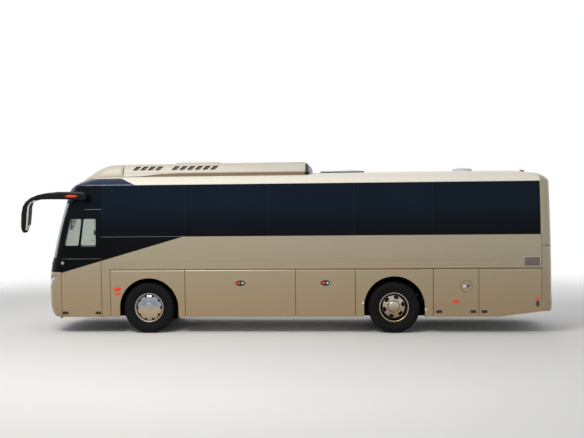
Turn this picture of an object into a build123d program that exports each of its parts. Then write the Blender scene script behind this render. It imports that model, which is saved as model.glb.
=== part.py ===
from build123d import *
import os
from math import atan2, cos, degrees, radians, sin, sqrt

# A ten metre high floor coach. Millimetres, X to the rear, Y to the right-hand side, Z up.
# X is counted from the front axle here, and the pieces are moved to the middle of the length at the end.

# Driving dimensions of the body
wheelbase = 4850
front_overhang = 2145
rear_overhang = 3095
skirt_z = 324
trim_z = 1262
widest_z = 1700
gutter_z = 2949
roof_edge_z = 3108
roof_crown_z = 3190
skirt_half = 1205
trim_half = 1243
widest_half = 1250
gutter_half = 1165
roof_edge_half = 985
roof_top_half = 640
wall = 45
glass = 10
seat_gap = 0.3
panel_gap = 8
nose_radius = 6000
nose_corner = 350
tail_radius = 14000
tail_corner = 235

# Plan sections of the walls. Columns: height, set back of the nose, set back of the tail
low_sections = [(skirt_z, 95, 28), (400, 42, 15), (550, 8, 0), (850, 0, 8), (1060, 2, 10),
                (trim_z, 21, 12)]
high_sections = [(trim_z, 21, 12), (1420, 51, 14), (1670, 107, 18), (1922, 163, 22), (2180, 224, 26),
                 (2436, 293, 31), (2690, 370, 36), (2860, 424, 40), (gutter_z, 503, 42)]

# Plan sections of the roof. Columns: height, half width, set back of the nose, set back of the tail
roof_sections = [(gutter_z, gutter_half, 503, 42), (3034, 1103, 655, 105),
                 (roof_edge_z, roof_edge_half, 860, 230), (roof_crown_z + 20, roof_top_half, 1400, 560)]

# Seams of the side, counted from the front axle
door_front_x = -1756
door_rear_x = -940
strip_rear_x = -765
arch_panel_front = (strip_rear_x, 739)
hold_rear_x = wheelbase - 750
hold_middle_x = hold_rear_x - 1170
arch_panel_rear = (hold_rear_x, wheelbase + 757)
side_flap_rear_x = wheelbase + 1630
tail_end_x = wheelbase + rear_overhang
tail_x = tail_end_x - 270
band_rear_x = tail_end_x - 293

# Heights of the side
flap_top_z = 1256
driver_flap_top_z = 1486
waist_bottom_z = 1264
band_bottom_z = 1922
waist_top_z = 1918
windscreen_foot_z = 1424
windscreen_head_z = 2662
windscreen_foot_x = -1845
windscreen_head_x = -1540
door_top_z = 2450
door_bottom_z = 345

# Wheels and axles
tyre_radius = 505
tyre_width = 292
rim_radius = 299
rim_lip = 14
front_wheel_y = 1048
twin_outer_y = 1036
twin_pitch = 332
kingpin_y = 940
kingpin_radius = 25
spindle_radius = 45
rear_spindle_radius = 62
running_gap = 0.05
arch_radius = 588
front_arch = (12, 506)
rear_arch = (wheelbase + 6, 527)

# Floors and frame
floor_bottom_z = 1264
floor_top_z = 1300
platform_z = 910
platform_thick = 30
riser_x = -720
low_step_z = 420
high_step_z = 660
well_y = (620, 850, 1080)
well_x = (door_front_x + 40, door_rear_x - 40)
jamb_y = 1140
step_side_thick = 10
step_riser_thick = 20
rail_inner = 395
rail_width = 70
rail_bottom_z = 720
rail_top_z = platform_z - platform_thick
bulkhead_thick = 30
hold_floor_z = 350
hold_floor_thick = 30

# Roof equipment
ac_front_x = -550
ac_rear_x = hold_rear_x - 943
ac_half_base = 950
ac_half_top = 850
ac_side_top_z = 3345
ac_top_z = 3368
ac_wall = 20
hatch_x = (ac_rear_x + 243, ac_rear_x + 1153)
hatch_half = 330
vent_x = wheelbase + 1480

mirror_tip_x = -2490
middle_x = (mirror_tip_x + tail_end_x) / 2
far = 12000


def side_half(z):
    """Half width of the side at height z: a straight skirt, then one barrel arc through three heights."""
    if z <= trim_z:
        return skirt_half + (z - skirt_z) * (trim_half - skirt_half) / (trim_z - skirt_z)
    (w1, z1), (w2, z2), (w3, z3) = (trim_half, trim_z), (widest_half, widest_z), (gutter_half, gutter_z)
    m1, m2 = (w1 ** 2 + z1 ** 2), (w2 ** 2 + z2 ** 2)
    m3 = w3 ** 2 + z3 ** 2
    d = 2 * (w1 * (z2 - z3) + w2 * (z3 - z1) + w3 * (z1 - z2))
    cw = (m1 * (z2 - z3) + m2 * (z3 - z1) + m3 * (z1 - z2)) / d
    cz = (m1 * (w3 - w2) + m2 * (w1 - w3) + m3 * (w2 - w1)) / d
    r = sqrt((w1 - cw) ** 2 + (z1 - cz) ** 2)
    return cw + sqrt(r * r - (z - cz) ** 2)


def end_points(x_end, way, half, face_r, corner_r):
    """Tangent point, corner's middle and side point of one rounded end of a plan section."""
    cy = half - corner_r
    reach = sqrt((face_r - corner_r) ** 2 - cy ** 2)
    cx = x_end + way * (face_r - reach)
    turn = atan2(cy, reach)
    tangent = (cx - way * corner_r * cos(turn), cy + corner_r * sin(turn))
    middle_turn = (turn + radians(90)) / 2
    middle = (cx - way * corner_r * cos(middle_turn), cy + corner_r * sin(middle_turn))
    return tangent, middle, (cx, half)


def plan_section(z, half, nose_in, tail_in, inset):
    """Closed plan outline at one height: bowed nose and tail, round corners, straight sides."""
    nose_x = -front_overhang + nose_in + inset
    tail_tip_x = tail_end_x - tail_in - inset
    nt, nm, ns = end_points(nose_x, 1, half - inset, nose_radius - inset, nose_corner - inset)
    tt, tm, ts = end_points(tail_tip_x, -1, half - inset, tail_radius - inset, tail_corner - inset)

    def at(p, side):
        return (p[0], side * p[1], z)

    edges = [
        ThreePointArc(at(nt, -1), (nose_x, 0, z), at(nt, 1)),
        ThreePointArc(at(nt, 1), at(nm, 1), at(ns, 1)),
        Line(at(ns, 1), at(ts, 1)),
        ThreePointArc(at(ts, 1), at(tm, 1), at(tt, 1)),
        ThreePointArc(at(tt, 1), (tail_tip_x, 0, z), at(tt, -1)),
        ThreePointArc(at(tt, -1), at(tm, -1), at(ts, -1)),
        Line(at(ts, -1), at(ns, -1)),
        ThreePointArc(at(ns, -1), at(nm, -1), at(nt, -1)),
    ]
    return Face(Wire(edges))


def wall_hull(inset):
    """Solid inside the walls from the skirt to the gutter, drawn in by inset."""
    low = loft([plan_section(z, side_half(z), a, b, inset) for z, a, b in low_sections], ruled=True)
    high = loft([plan_section(z, side_half(z), a, b, inset) for z, a, b in high_sections], ruled=True)
    return low + high


def roof_hull(inset):
    """Solid inside the roof above the gutter, its cove lofted and its crown one large arc."""
    cove = loft([plan_section(z, w, a, b, inset) for z, w, a, b in roof_sections], ruled=True)
    rise = roof_crown_z - roof_edge_z
    crown_r = (roof_edge_half ** 2 + rise ** 2) / (2 * rise)
    crown = Pos(middle_x, 0, roof_crown_z - crown_r) * (Rot(0, 90, 0) * Cylinder(crown_r - inset, 2 * far))
    return cove & crown


def block(x0, x1, y0, y1, z0, z1):
    """Box between two corners."""
    return Pos((x0 + x1) / 2, (y0 + y1) / 2, (z0 + z1) / 2) * Box(x1 - x0, abs(y1 - y0), z1 - z0)


def side_prism(points, y0, y1):
    """Prism between two Y planes from an outline in X and Z."""
    face = make_face(Polyline(*[(x, y0, z) for x, z in points], close=True))
    return extrude(face, amount=abs(y1 - y0), dir=(0, 1 if y1 > y0 else -1, 0))


def front_prism(points, x0, x1):
    """Prism between two X planes from an outline in Y and Z."""
    face = make_face(Polyline(*[(x0, y, z) for y, z in points], close=True))
    return extrude(face, amount=abs(x1 - x0), dir=(1 if x1 > x0 else -1, 0, 0))


def both(shape):
    """A shape and its mirror image across the middle of the coach."""
    return [shape, mirror(shape, about=Plane.XZ)]


def edge_x(z):
    """X of the windscreen's slanted side edge at height z."""
    lean = (windscreen_head_x - windscreen_foot_x) / (windscreen_head_z - windscreen_foot_z)
    return windscreen_foot_x + (z - windscreen_foot_z) * lean


def group(solids):
    """Solids of one node that don't touch."""
    flat = [s for piece in solids for s in piece.solids()]
    return flat[0] if len(flat) == 1 else Compound(children=flat)


outer = wall_hull(0)
inner = wall_hull(wall)
ring = outer - inner
glass_ring = outer - wall_hull(glass)
frame_ring = wall_hull(glass + seat_gap) - inner
inside = wall_hull(wall + seat_gap)
inside_free = wall_hull(wall + panel_gap)
roof_outer = roof_hull(0)
roof_ring = roof_outer - roof_hull(wall)

# The underside rises behind the rear axle
ramp_x = wheelbase + 2020
departure = side_prism([(ramp_x, 200), (ramp_x, skirt_z + 2), (tail_x + 2, skirt_z + 107),
                        (far, skirt_z + 521), (far, 200)], -far, far)
half_gap = panel_gap / 2


def wall_piece(x0, x1, z0, z1, side, source=ring):
    """Piece of the side wall between two X and two Z planes."""
    y0, y1 = (0, 1500) if side > 0 else (-1500, 0)
    return source & block(x0, x1, y0, y1, z0, z1)


def arch_cutter(centre, radius):
    """Wheel opening: a half round top over straight sides, right through the body."""
    x, z = centre
    tunnel = Pos(x, 0, z) * (Rot(90, 0, 0) * Cylinder(radius, 3000))
    return tunnel + block(x - radius, x + radius, -1500, 1500, 100, z)


def skirts():
    """Fixed lower panels: a strip behind the door, and an arch panel at each axle, on both sides."""
    pieces = [wall_piece(door_rear_x + half_gap, strip_rear_x, skirt_z, flap_top_z, 1)]
    front = wall_piece(arch_panel_front[0] + seat_gap, arch_panel_front[1] - half_gap, skirt_z, flap_top_z, 1)
    rear = wall_piece(arch_panel_rear[0] + half_gap, arch_panel_rear[1] - half_gap, skirt_z, flap_top_z, 1)
    pieces.append(front - arch_cutter(front_arch, arch_radius))
    pieces.append(rear - arch_cutter(rear_arch, arch_radius))
    return group([s for p in pieces for s in both(p)])


def waist_panels():
    """One long panel on each side between the flaps and the window band."""
    panel = wall_piece(door_rear_x + seat_gap, tail_x - half_gap, waist_bottom_z, waist_top_z, 1)
    return group(both(panel))


# Panes of the side window band. Columns: front seam, rear seam
pane_x = [door_rear_x, arch_panel_front[1], hold_rear_x - 1700, hold_rear_x - 20, arch_panel_rear[1],
          band_rear_x]
pane_seams = list(zip(pane_x, pane_x[1:]))
band_top_z = gutter_z - 4
pane_gap = 3
pillar_half = 55
rail_depth = 70


def side_glass():
    """Panes of the window band on both sides, bonded outside the pillars."""
    panes = []
    for a, b in pane_seams:
        panes += both(wall_piece(a + pane_gap, b - pane_gap, band_bottom_z, band_top_z, 1, glass_ring))
    return group(panes)


def window_pillars():
    """Pillars and rails behind the panes, one frame on each side."""
    frame = wall_piece(door_rear_x + seat_gap, band_rear_x - seat_gap, waist_top_z, gutter_z, 1, frame_ring)
    low, high = band_bottom_z + rail_depth, band_top_z - rail_depth
    for a, b in pane_seams:
        frame -= block(a + pillar_half, b - pillar_half, 900, 1400, low, high)
    return group(both(frame))


def cab_outline(top_z):
    """Outline of the cab's side wall from the windscreen edge to the seam behind the door."""
    sill_z = driver_flap_top_z + panel_gap
    foot_x = edge_x(windscreen_foot_z) + seat_gap
    return [(foot_x, windscreen_foot_z), (door_front_x - half_gap, windscreen_foot_z),
            (door_front_x - half_gap, sill_z), (door_rear_x, sill_z), (door_rear_x, top_z),
            (edge_x(top_z) + seat_gap, top_z)]


# The driver's window. Columns: X and Z of each corner of the two openings
driver_panes = [[(-1681, 1755), (-1396, 1755), (-1328, 2283), (-1559, 2283)],
                [(-1350, 1755), (-1045, 1755), (-1045, 2283), (-1290, 2283)]]
# The entry door's outline, its front edge leaning with the windscreen
door_outline = [(door_front_x + half_gap, door_bottom_z), (door_rear_x - half_gap, door_bottom_z),
                (door_rear_x - half_gap, door_top_z), (-1478, door_top_z), (door_front_x + half_gap, 1412)]
door_window = [(-1640, 760), (-1040, 760), (-1040, 2330), (-1450, 2330), (-1640, 1600)]


def outline_prism(points, amount, side):
    """Prism on one side from an outline in X and Z, drawn outwards by amount."""
    face = make_face(Polyline(*[(x, 0, z) for x, z in points], close=True))
    if amount:
        face = offset(face, amount=amount, kind=Kind.INTERSECTION)
    return extrude(face, amount=1500, dir=(0, side, 0))


def cab_sides():
    """Cab side walls: on the left round the driver's window, on the right over and before the door."""
    left = ring & side_prism(cab_outline(gutter_z), 0, -1500)
    for pane in driver_panes:
        left -= outline_prism(pane, 0, -1)
    foot_x, head_x = (edge_x(z) + seat_gap for z in (windscreen_foot_z, gutter_z))
    right_outline = [(foot_x, windscreen_foot_z), (door_rear_x, windscreen_foot_z), (door_rear_x, gutter_z),
                     (head_x, gutter_z)]
    right = ring & side_prism(right_outline, 0, 1500)
    right -= outline_prism(door_outline, panel_gap, 1)
    return group([left, right])


def driver_window():
    """Two panes seated in the driver's window openings."""
    return group([glass_ring & outline_prism(p, -seat_gap, -1) for p in driver_panes])


def entry_door():
    """Entry door panel with its window cut out, drawn on the left and mirrored to the right."""
    panel = (ring & outline_prism(door_outline, 0, -1)) - outline_prism(door_window, 0, -1)
    return mirror(panel, about=Plane.XZ)


def entry_door_glass():
    """Pane of the entry door."""
    return glass_ring & outline_prism(door_window, -seat_gap, 1)


# Hinge of the entry door's arm and the arm's length
arm_pivot = (-1680, 1045)
arm_length = 520
arm_z = (560, 596)
arm_gap = 6


def door_arm():
    """Swing arm of the entry door on its upright post inside the front jamb."""
    x, y = arm_pivot
    post_low, post_top = low_step_z + seat_gap, arm_z[1] + 50
    post = Pos(x, y, (post_low + post_top) / 2) * Cylinder(22, post_top - post_low)
    bar = block(x, x + arm_length, y - 20, y + 20, *arm_z)
    end = Pos(x + arm_length, y, sum(arm_z) / 2) * Cylinder(20, arm_z[1] - arm_z[0])
    return post + bar + end - Pos(x + arm_length, y, sum(arm_z) / 2) * Cylinder(9, 100)


def door_bracket():
    """Fork on the door that carries the arm's end."""
    x, y = arm_pivot[0] + arm_length, arm_pivot[1]
    ears = block(x - 20, x + 20, y - 20, 1300, arm_z[0] - arm_gap - 14, arm_z[0] - arm_gap)
    ears += block(x - 20, x + 20, y - 20, 1300, arm_z[1] + arm_gap, arm_z[1] + arm_gap + 14)
    ears += block(x - 20, x + 20, y + 30, 1300, arm_z[0] - arm_gap - 14, arm_z[1] + arm_gap + 14)
    ears += Pos(x, y, sum(arm_z) / 2) * Cylinder(9 - running_gap, arm_z[1] - arm_z[0] + 2 * arm_gap + 10)
    return ears & wall_hull(wall / 2)


def front_mask():
    """Nose below the windscreen with the headlamp pockets and the mouth of the radiator grille."""
    mask = ring & block(-3000, door_front_x - half_gap, -1500, 1500, skirt_z, windscreen_foot_z - seat_gap)
    for lamp in lamp_prisms(seat_gap):
        mask -= lamp
    for z in grille_rows:
        mask -= block(-3000, -1900, -grille_half, grille_half, z, z + grille_slot)
    return mask


# Headlamps reach round the corner. Outline columns: Y and Z
headlamp_outline = [(640, 900), (640, 1040), (760, 1120), (1300, 1130), (1300, 970), (980, 900)]
headlamp_rear_x = -1900
grille_rows = [470, 530, 590]
grille_slot = 34
grille_half = 420


def lamp_prisms(grow):
    """Prisms of the two headlamps, drawn outwards by grow."""
    face = make_face(Polyline(*[(-3000, y, z) for y, z in headlamp_outline], close=True))
    if grow:
        face = offset(face, amount=grow, kind=Kind.INTERSECTION)
    return both(extrude(face, amount=3000 + headlamp_rear_x + grow, dir=(1, 0, 0)))


def headlamps():
    """Two headlamps flush with the nose."""
    return group([ring & p for p in lamp_prisms(0)])


def windscreen():
    """One piece windscreen, bowed in plan and leaning back."""
    outline = [(-3000, windscreen_foot_z), (windscreen_foot_x, windscreen_foot_z),
               (windscreen_head_x, windscreen_head_z), (-3000, windscreen_head_z)]
    half = glass_ring & side_prism(outline, 0, 1500)
    return half + mirror(half, about=Plane.XZ)


def roof():
    """Roof shell with its coves, the brow over the windscreen and the hatch opening."""
    foot_z = windscreen_head_z + seat_gap
    brow_outline = [(-3000, foot_z), (edge_x(foot_z), foot_z), (edge_x(gutter_z), gutter_z),
                    (-3000, gutter_z)]
    brow_half = ring & side_prism(brow_outline, 0, 1500)
    shell = roof_ring + brow_half + mirror(brow_half, about=Plane.XZ)
    shell -= block(hatch_x[0] + 150, hatch_x[1] - 150, -hatch_half + 60, hatch_half - 60, 3000, 3400)
    return shell


def ac_section(inset, foot_z=3060):
    """Flat topped section of the roof air conditioner with leaning sides, in Y and Z."""
    low, knee = ac_half_base - inset, ac_half_top - inset
    side = [(low, foot_z), (low, 3150), (knee, ac_side_top_z - inset), (knee - 60, ac_top_z - inset)]
    return side + [(-y, z) for y, z in reversed(side)]


# Groups of leaning side vents. Columns: first X, pitch, count
vent_groups = [(-366, 152, 4), (426, 157, 6)]
vent_z = (3256, 3328)
vent_width = 118
vent_lean = 38


def ac_unit():
    """Housing of the air conditioner, hollow, with leaning vents through both sides."""
    shell = front_prism(ac_section(0), ac_front_x, ac_rear_x)
    shell -= front_prism(ac_section(ac_wall), ac_front_x + ac_wall, ac_rear_x - ac_wall)
    shell -= roof_hull(-seat_gap)
    for first, pitch, count in vent_groups:
        for i in range(count):
            x = first + i * pitch
            vent = [(x, vent_z[0]), (x + vent_width, vent_z[0]), (x + vent_width + vent_lean, vent_z[1]),
                    (x + vent_lean, vent_z[1])]
            shell -= side_prism(vent, -1200, 1200)
    return shell


# Covers on the air conditioner. Columns: front X, rear X, top Z, half width
ac_cover_table = [(-530, 448, 3378, 760), (462, 1376, 3412, 740), (1394, ac_rear_x - 17, 3388, 760)]


def ac_covers():
    """Three covers on the air conditioner's top, each with chamfered edges."""
    covers = []
    for x0, x1, top, half in ac_cover_table:
        plate = block(x0, x1, -half, half, ac_top_z, top)
        covers.append(chamfer(plate.faces().sort_by(Axis.Z)[-1].edges(), (top - ac_top_z) * 0.6))
    return group(covers)


# Side line of the fairing, in X and Z: a straight rise from the brow, then one arc up to the top
fairing_rear_x = ac_front_x - 4
fairing_line = [(-1600, 2940), (-1127, 3244), (-925, 3336), (-705, ac_top_z), (fairing_rear_x, ac_top_z)]
# Its plan: X and half width where the sides draw in and where the bowed nose starts, and the nose's tip
fairing_plan = [(-1000, ac_half_base), (-1400, ac_half_base - 120)]
fairing_tip_x = -1450


def roof_fairing():
    """Front fairing: the air conditioner's section drawn down to the brow, with a bowed nose in plan."""
    foot, low, middle, high, top = [(x, 0, z) for x, z in fairing_line]
    heel = (fairing_rear_x, 0, foot[2])
    outline = ThreePointArc(low, middle, high) + Polyline(high, top, heel, foot, low)
    body = extrude(make_face(outline), amount=1100, dir=(0, 1, 0), both=True)
    body &= front_prism(ac_section(0, foot[2]), foot[0], fairing_rear_x)
    (waist_x, waist_half), (bow_x, bow_half) = fairing_plan
    left, right = (bow_x, -bow_half), (bow_x, bow_half)
    plan = ThreePointArc(left, (fairing_tip_x, 0), right)
    plan += Polyline(right, (waist_x, waist_half), (ac_front_x, waist_half), (ac_front_x, -waist_half),
                     (waist_x, -waist_half), left)
    body &= Pos(0, 0, foot[2] - 1) * extrude(make_face(plan), amount=600)
    return body - roof_hull(-seat_gap) - wall_hull(-seat_gap)


# Roof hatch: heights of the curb, the lid's flange and its raised middle, and the hinge's barrel
curb_top_z = 3200
lid_z = (3206, 3219, 3238)
hatch_pin = (hatch_x[0] + 4, 3201.5)
hatch_pin_radius = 5.5
hatch_hinges = (-200, 200)


def roof_hatch():
    """Emergency hatch lid: a flat flange with a raised middle and two hinge barrels at its front edge."""
    x0, x1 = hatch_x
    low, high, top = lid_z
    flange = block(x0, x1, -hatch_half, hatch_half, low, high)
    raised = block(x0 + 280, x1 - 130, -hatch_half + 70, hatch_half - 70, high, top)
    lid = flange + chamfer(raised.faces().sort_by(Axis.Z)[-1].edges(), 12)
    for y in hatch_hinges:
        lid += Pos(hatch_pin[0], y, hatch_pin[1]) * (Rot(90, 0, 0) * Cylinder(hatch_pin_radius, 60))
    return lid


def hatch_curb():
    """Curb round the hatch opening under the lid, with a seat behind each hinge barrel."""
    x0, x1 = hatch_x
    curb = block(x0 + 110, x1 - 110, -hatch_half + 30, hatch_half - 30, 3100, curb_top_z)
    curb -= block(x0 + 150, x1 - 150, -hatch_half + 60, hatch_half - 60, 3000, 3300)
    seat_x = hatch_pin[0] + hatch_pin_radius + seat_gap
    for y in hatch_hinges:
        curb += block(seat_x, x0 + 111, y - 30, y + 30, 3100, curb_top_z)
    return curb - roof_hull(-seat_gap)


def roof_vent():
    """Round mushroom vent on its low step."""
    step = Pos(vent_x, 0, 3196) * Cylinder(150, 40)
    cap = Pos(vent_x, 0, 3226) * Cylinder(205, 20)
    dome = Pos(vent_x, 0, 3236 + 10) * Cylinder(150, 20)
    return (step + cap + dome) - roof_hull(-seat_gap)


# Rear openings, cut behind one X. Columns: half width, low Z, high Z
tail_cut_x = tail_end_x - 345
rear_window_size = (900, 1960, 2790)
engine_lid_size = (880, 640, 1640)
lid_slots = 6
lid_slot_z = 1180
lid_slot_pitch = 60
lid_slot_half = 620
engine_hinge = (tail_end_x - 18, engine_lid_size[2] + half_gap)
engine_hinge_half = 360
# Rear lamps. Columns: Y, low Z, high Z, half width
rear_lamp_table = [(1050, 760, 1240, 62), (1050, 1290, 1420, 62)]
# Round lamp on the roof: X, Y, Z and radius
roof_lamp = (tail_end_x - 400, 0, 3150, 62)


def rear_frame():
    """Tail with its round corners, less the window, the engine lid and the lamps."""
    tail = ring & (block(tail_x + half_gap, far, -1500, 1500, skirt_z, waist_top_z)
                   + block(band_rear_x + half_gap, far, -1500, 1500, waist_top_z, gutter_z))
    half, low, high = rear_window_size
    tail -= block(tail_cut_x, far, -half, half, low, high)
    half, low, high = engine_lid_size
    tail -= block(tail_cut_x, far, -half - panel_gap, half + panel_gap, low - panel_gap, high + panel_gap)
    for y, z0, z1, w in rear_lamp_table:
        for side in (-1, 1):
            tail -= block(tail_cut_x, far, side * y - w, side * y + w, z0, z1)
    return tail - departure


def rear_window():
    """Rear window pane."""
    half, low, high = (rear_window_size[0] - seat_gap, rear_window_size[1] + seat_gap,
                       rear_window_size[2] - seat_gap)
    return glass_ring & block(tail_cut_x, far, -half, half, low, high)


def engine_lid():
    """Engine lid in the tail with a slotted air grille."""
    half, low, high = engine_lid_size
    lid = ring & block(tail_cut_x, far, -half, half, low, high)
    for i in range(lid_slots):
        z = lid_slot_z + i * lid_slot_pitch
        lid -= block(tail_cut_x, far, -lid_slot_half, lid_slot_half, z, z + lid_slot_pitch / 2)
    x, z = engine_hinge
    lid += Pos(x, 0, z) * (Rot(90, 0, 0) * Cylinder(barrel_radius, 2 * engine_hinge_half))
    lid += block(x - 12, x, -engine_hinge_half, engine_hinge_half, z - half_gap - 6, z - 1)
    return lid


def lamps():
    """Rear lamps flush in the tail and the round lamp on the roof's end."""
    pieces = []
    for y, z0, z1, w in rear_lamp_table:
        lamp = ring & block(tail_cut_x, far, y - w + seat_gap, y + w - seat_gap, z0 + seat_gap, z1 - seat_gap)
        pieces += both(lamp)
    dome = Pos(*roof_lamp[:3]) * Sphere(roof_lamp[3])
    pieces.append(dome - roof_hull(-seat_gap))
    return group(pieces)


# The flaps' hinge barrel lies in the gap over a flap's top edge, on the outer face
barrel_radius = half_gap - seat_gap
barrel_web = 3


def hinge_barrel(x0, x1, z, side):
    """Hinge barrel along X over a flap's top edge, with the web that joins it to the flap."""
    y = side * side_half(z)
    rod = Pos((x0 + x1) / 2, y, z) * (Rot(0, 90, 0) * Cylinder(barrel_radius, x1 - x0))
    web_y = sorted((y, y - side * barrel_web))
    return rod + block(x0, x1, *web_y, z - half_gap - 6, z)


def flap(x0, x1, side):
    """Side flap between two seams, from the skirt to its hinge at the trim line."""
    x0, x1 = x0 + half_gap, x1 - half_gap
    panel = wall_piece(x0, x1, skirt_z, flap_top_z, side) - departure
    return panel + hinge_barrel(x0 + 20, x1 - 20, flap_top_z + half_gap, side)


# The driver's flap is hinged where the side is straight, behind the nose's corner
driver_hinge_x = (-1600, -980)


def driver_flap():
    """Flap under the driver's window."""
    panel = wall_piece(door_front_x + half_gap, door_rear_x - half_gap, skirt_z, driver_flap_top_z, -1)
    return panel + hinge_barrel(*driver_hinge_x, driver_flap_top_z + half_gap, -1)


# Round fuel filler flap on the left side flap: X, Z, radius, thickness
filler = (wheelbase + 1393, 914, 108, 14)
filler_gap = 6
filler_depth = 12
filler_hinge_half = 22


def filler_cutter(radius):
    """Round cutter across the left wall at the fuel filler."""
    x, z = filler[:2]
    return Pos(x, -1230, z) * (Rot(90, 0, 0) * Cylinder(radius, 200))


def side_flap_left():
    """Left side flap with the round recess of the fuel filler and the notch of its hinge."""
    x, z, radius, thick = filler
    pocket = filler_cutter(radius + filler_gap) & (outer - wall_hull(thick + filler_depth))
    notch_x = x - radius - filler_gap - seat_gap
    notch = block(notch_x, x - radius, -side_half(z) - filler_gap, -side_half(z) + filler_gap,
                  z - filler_hinge_half - seat_gap, z + filler_hinge_half + seat_gap)
    return flap(arch_panel_rear[1], side_flap_rear_x, -1) - pocket - notch


filler_lean = degrees(atan2(trim_half - skirt_half, trim_z - skirt_z))


def fuel_flap():
    """Round fuel filler flap with the hinge barrel at its front edge."""
    x, z, radius, thick = filler
    disc = filler_cutter(radius) & (outer - wall_hull(thick))
    pin_x = x - radius - filler_gap / 2
    y = -side_half(z)
    pin = Cylinder(filler_gap / 2 - seat_gap, 2 * filler_hinge_half)
    barrel = Pos(pin_x, y, z) * (Rot(filler_lean, 0, 0) * pin)
    web_half = filler_hinge_half - 2
    web = block(pin_x, x - radius + filler_depth, y + 1, y + 5, z - web_half, z + web_half)
    return disc + barrel + web


cross_z = (rail_bottom_z + 20, rail_top_z - 40)
# Subframes. Columns: rail front X, rail rear X, cross member places
frame_front = (-1880, 690, (-1800, -900, 420))
frame_rear = (hold_rear_x + 60, tail_end_x - 345,
              (hold_rear_x + 200, wheelbase + 450, wheelbase + 1150, tail_end_x - 405))


def chassis():
    """Front and rear subframes: two rails each with cross members and tow eyes."""
    frames = []
    for x0, x1, crosses in (frame_front, frame_rear):
        rail, other_rail = both(block(x0, x1, rail_inner, rail_inner + rail_width, rail_bottom_z, rail_top_z))
        frame = rail + other_rail
        for x in crosses:
            frame += block(x - 30, x + 30, -rail_inner - 1, rail_inner + 1, *cross_z)
        frames.append(frame)
    front, rear = frames
    front += tow_eye(frame_front[0], 1, tow_eye_front_z)
    rear += tow_eye(frame_rear[1], -1, tow_eye_rear_z)
    return group([front, rear])


# Tow eyes: pin hole, plate and its height under each end of the frame
tow_eye_radius = 22
tow_eye_thick = 30
tow_eye_half = 45
tow_eye_front_z = 330
tow_eye_rear_z = 475
tow_eye_y = 360


def tow_eye(x, way, z):
    """Tow eye: a flat plate with an upright pin hole, on a hanger under the end of the frame."""
    length = 2 * tow_eye_half + tow_eye_thick
    plate_x = sorted((x, x + way * length))
    plate = block(*plate_x, tow_eye_y - tow_eye_half, tow_eye_y + tow_eye_half, z, z + tow_eye_thick)
    hole = Pos(x + way * tow_eye_half, tow_eye_y, z) * Cylinder(tow_eye_radius, 4 * tow_eye_thick)
    hanger_x = sorted((x + way * 2 * tow_eye_half, x + way * length))
    hanger = block(*hanger_x, tow_eye_y - tow_eye_half, rail_inner + tow_eye_thick, z,
                   rail_bottom_z + rail_width)
    return plate + hanger - hole


# Bulkheads under the floor. Columns: front X, top Z
bulkheads = [(-870, rail_top_z), (690, floor_bottom_z), (hold_rear_x + 30, floor_bottom_z),
             (arch_panel_rear[1] - 42, floor_bottom_z)]


def luggage_hold():
    """Bulkheads across the body and the floor of the luggage hold between two of them."""
    holds = []
    for x, top_z in bulkheads:
        panel = inside & block(x, x + bulkhead_thick, -1400, 1400, hold_floor_z, top_z)
        for side in (-1, 1):
            y = side * (rail_inner + rail_width / 2)
            grow = rail_width / 2
            panel -= block(x - 1, x + bulkhead_thick + 1, y - grow, y + grow, rail_bottom_z, rail_top_z)
        holds.append(panel)
    slab = inside_free & block(bulkheads[1][0] + bulkhead_thick - 1, bulkheads[2][0] + 1, -1400, 1400,
                               hold_floor_z, hold_floor_z + hold_floor_thick)
    middle = holds[1] + holds[2] + slab
    return group([holds[0], middle, holds[3]])


liner_gap = 20
liner_thick = 6
liner_low_z = 440


def wheel_arches():
    """Four wheel arch liners seated on the arch panels."""
    liners = []
    for centre, inner_y in ((front_arch, 590), (rear_arch, 545)):
        tunnel = arch_cutter(centre, arch_radius + liner_gap + liner_thick)
        band = tunnel - arch_cutter(centre, arch_radius + liner_gap)
        band &= block(-far, far, inner_y, 1400, liner_low_z, 1400)
        side = tunnel & block(-far, far, inner_y, inner_y + liner_thick, rail_bottom_z, 1400)
        liners += both((band + side) & inside)
    return group(liners)


def floor_deck():
    """Passenger floor, and the driver's platform a step lower in three sheets round the step well."""
    deck = inside & block(riser_x, far, -1400, 1400, floor_bottom_z, floor_top_z)
    low = platform_z - platform_thick
    riser = inside_free & block(riser_x, riser_x + platform_thick, -1400, 1400, low, floor_top_z - 20)
    rear_x = riser_x - seat_gap
    platform = inside_free & block(-3000, rear_x, -1400, 1400, low, platform_z)
    platform += inside & block(-3000, door_front_x - panel_gap, -1400, 1400, low, platform_z)
    left = platform & block(-3000, rear_x, -1400, well_y[0], low, platform_z)
    beside_well = (well_y[0] + seat_gap, 1400, low, platform_z)
    front = platform & block(-3000, well_x[0], *beside_well)
    front -= block(door_front_x - 4 * platform_thick, well_x[0] + 1, jamb_y, 1400, low - 1, platform_z + 1)
    rear = platform & block(well_x[1], rear_x, *beside_well)
    return group([deck + riser, left, front, rear])


def entry_steps():
    """Two steps inside the door, each with its riser, between two side plates."""
    y0, y1, y2 = well_y
    x0, x1 = well_x
    low_bottom, high_bottom = low_step_z - platform_thick, high_step_z - platform_thick
    steps = block(x0, x1, y0, y1, high_bottom, high_step_z)
    steps += block(x0, x1, y1 - step_riser_thick, y2, low_bottom, low_step_z)
    steps += block(x0, x1, y0, y0 + step_riser_thick, high_bottom, platform_z)
    steps += block(x0, x1, y1 - step_riser_thick, y1, low_bottom, high_step_z)
    for x in (x0, x1 - step_side_thick):
        steps += block(x, x + step_side_thick, y0, y2, low_bottom, platform_z)
    return steps


# Seat section in X and Z from its front foot on the floor
seat_outline = [(60, 0), (60, 300), (0, 330), (0, 430), (60, 450), (420, 425), (560, 1120), (660, 1110),
                (530, 340), (400, 300), (400, 0)]
seat_pitch = 775
first_seat_x = -420
seat_rows = int((tail_x - 330 - first_seat_x) / seat_pitch)
seat_y = (270, 1150)


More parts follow.
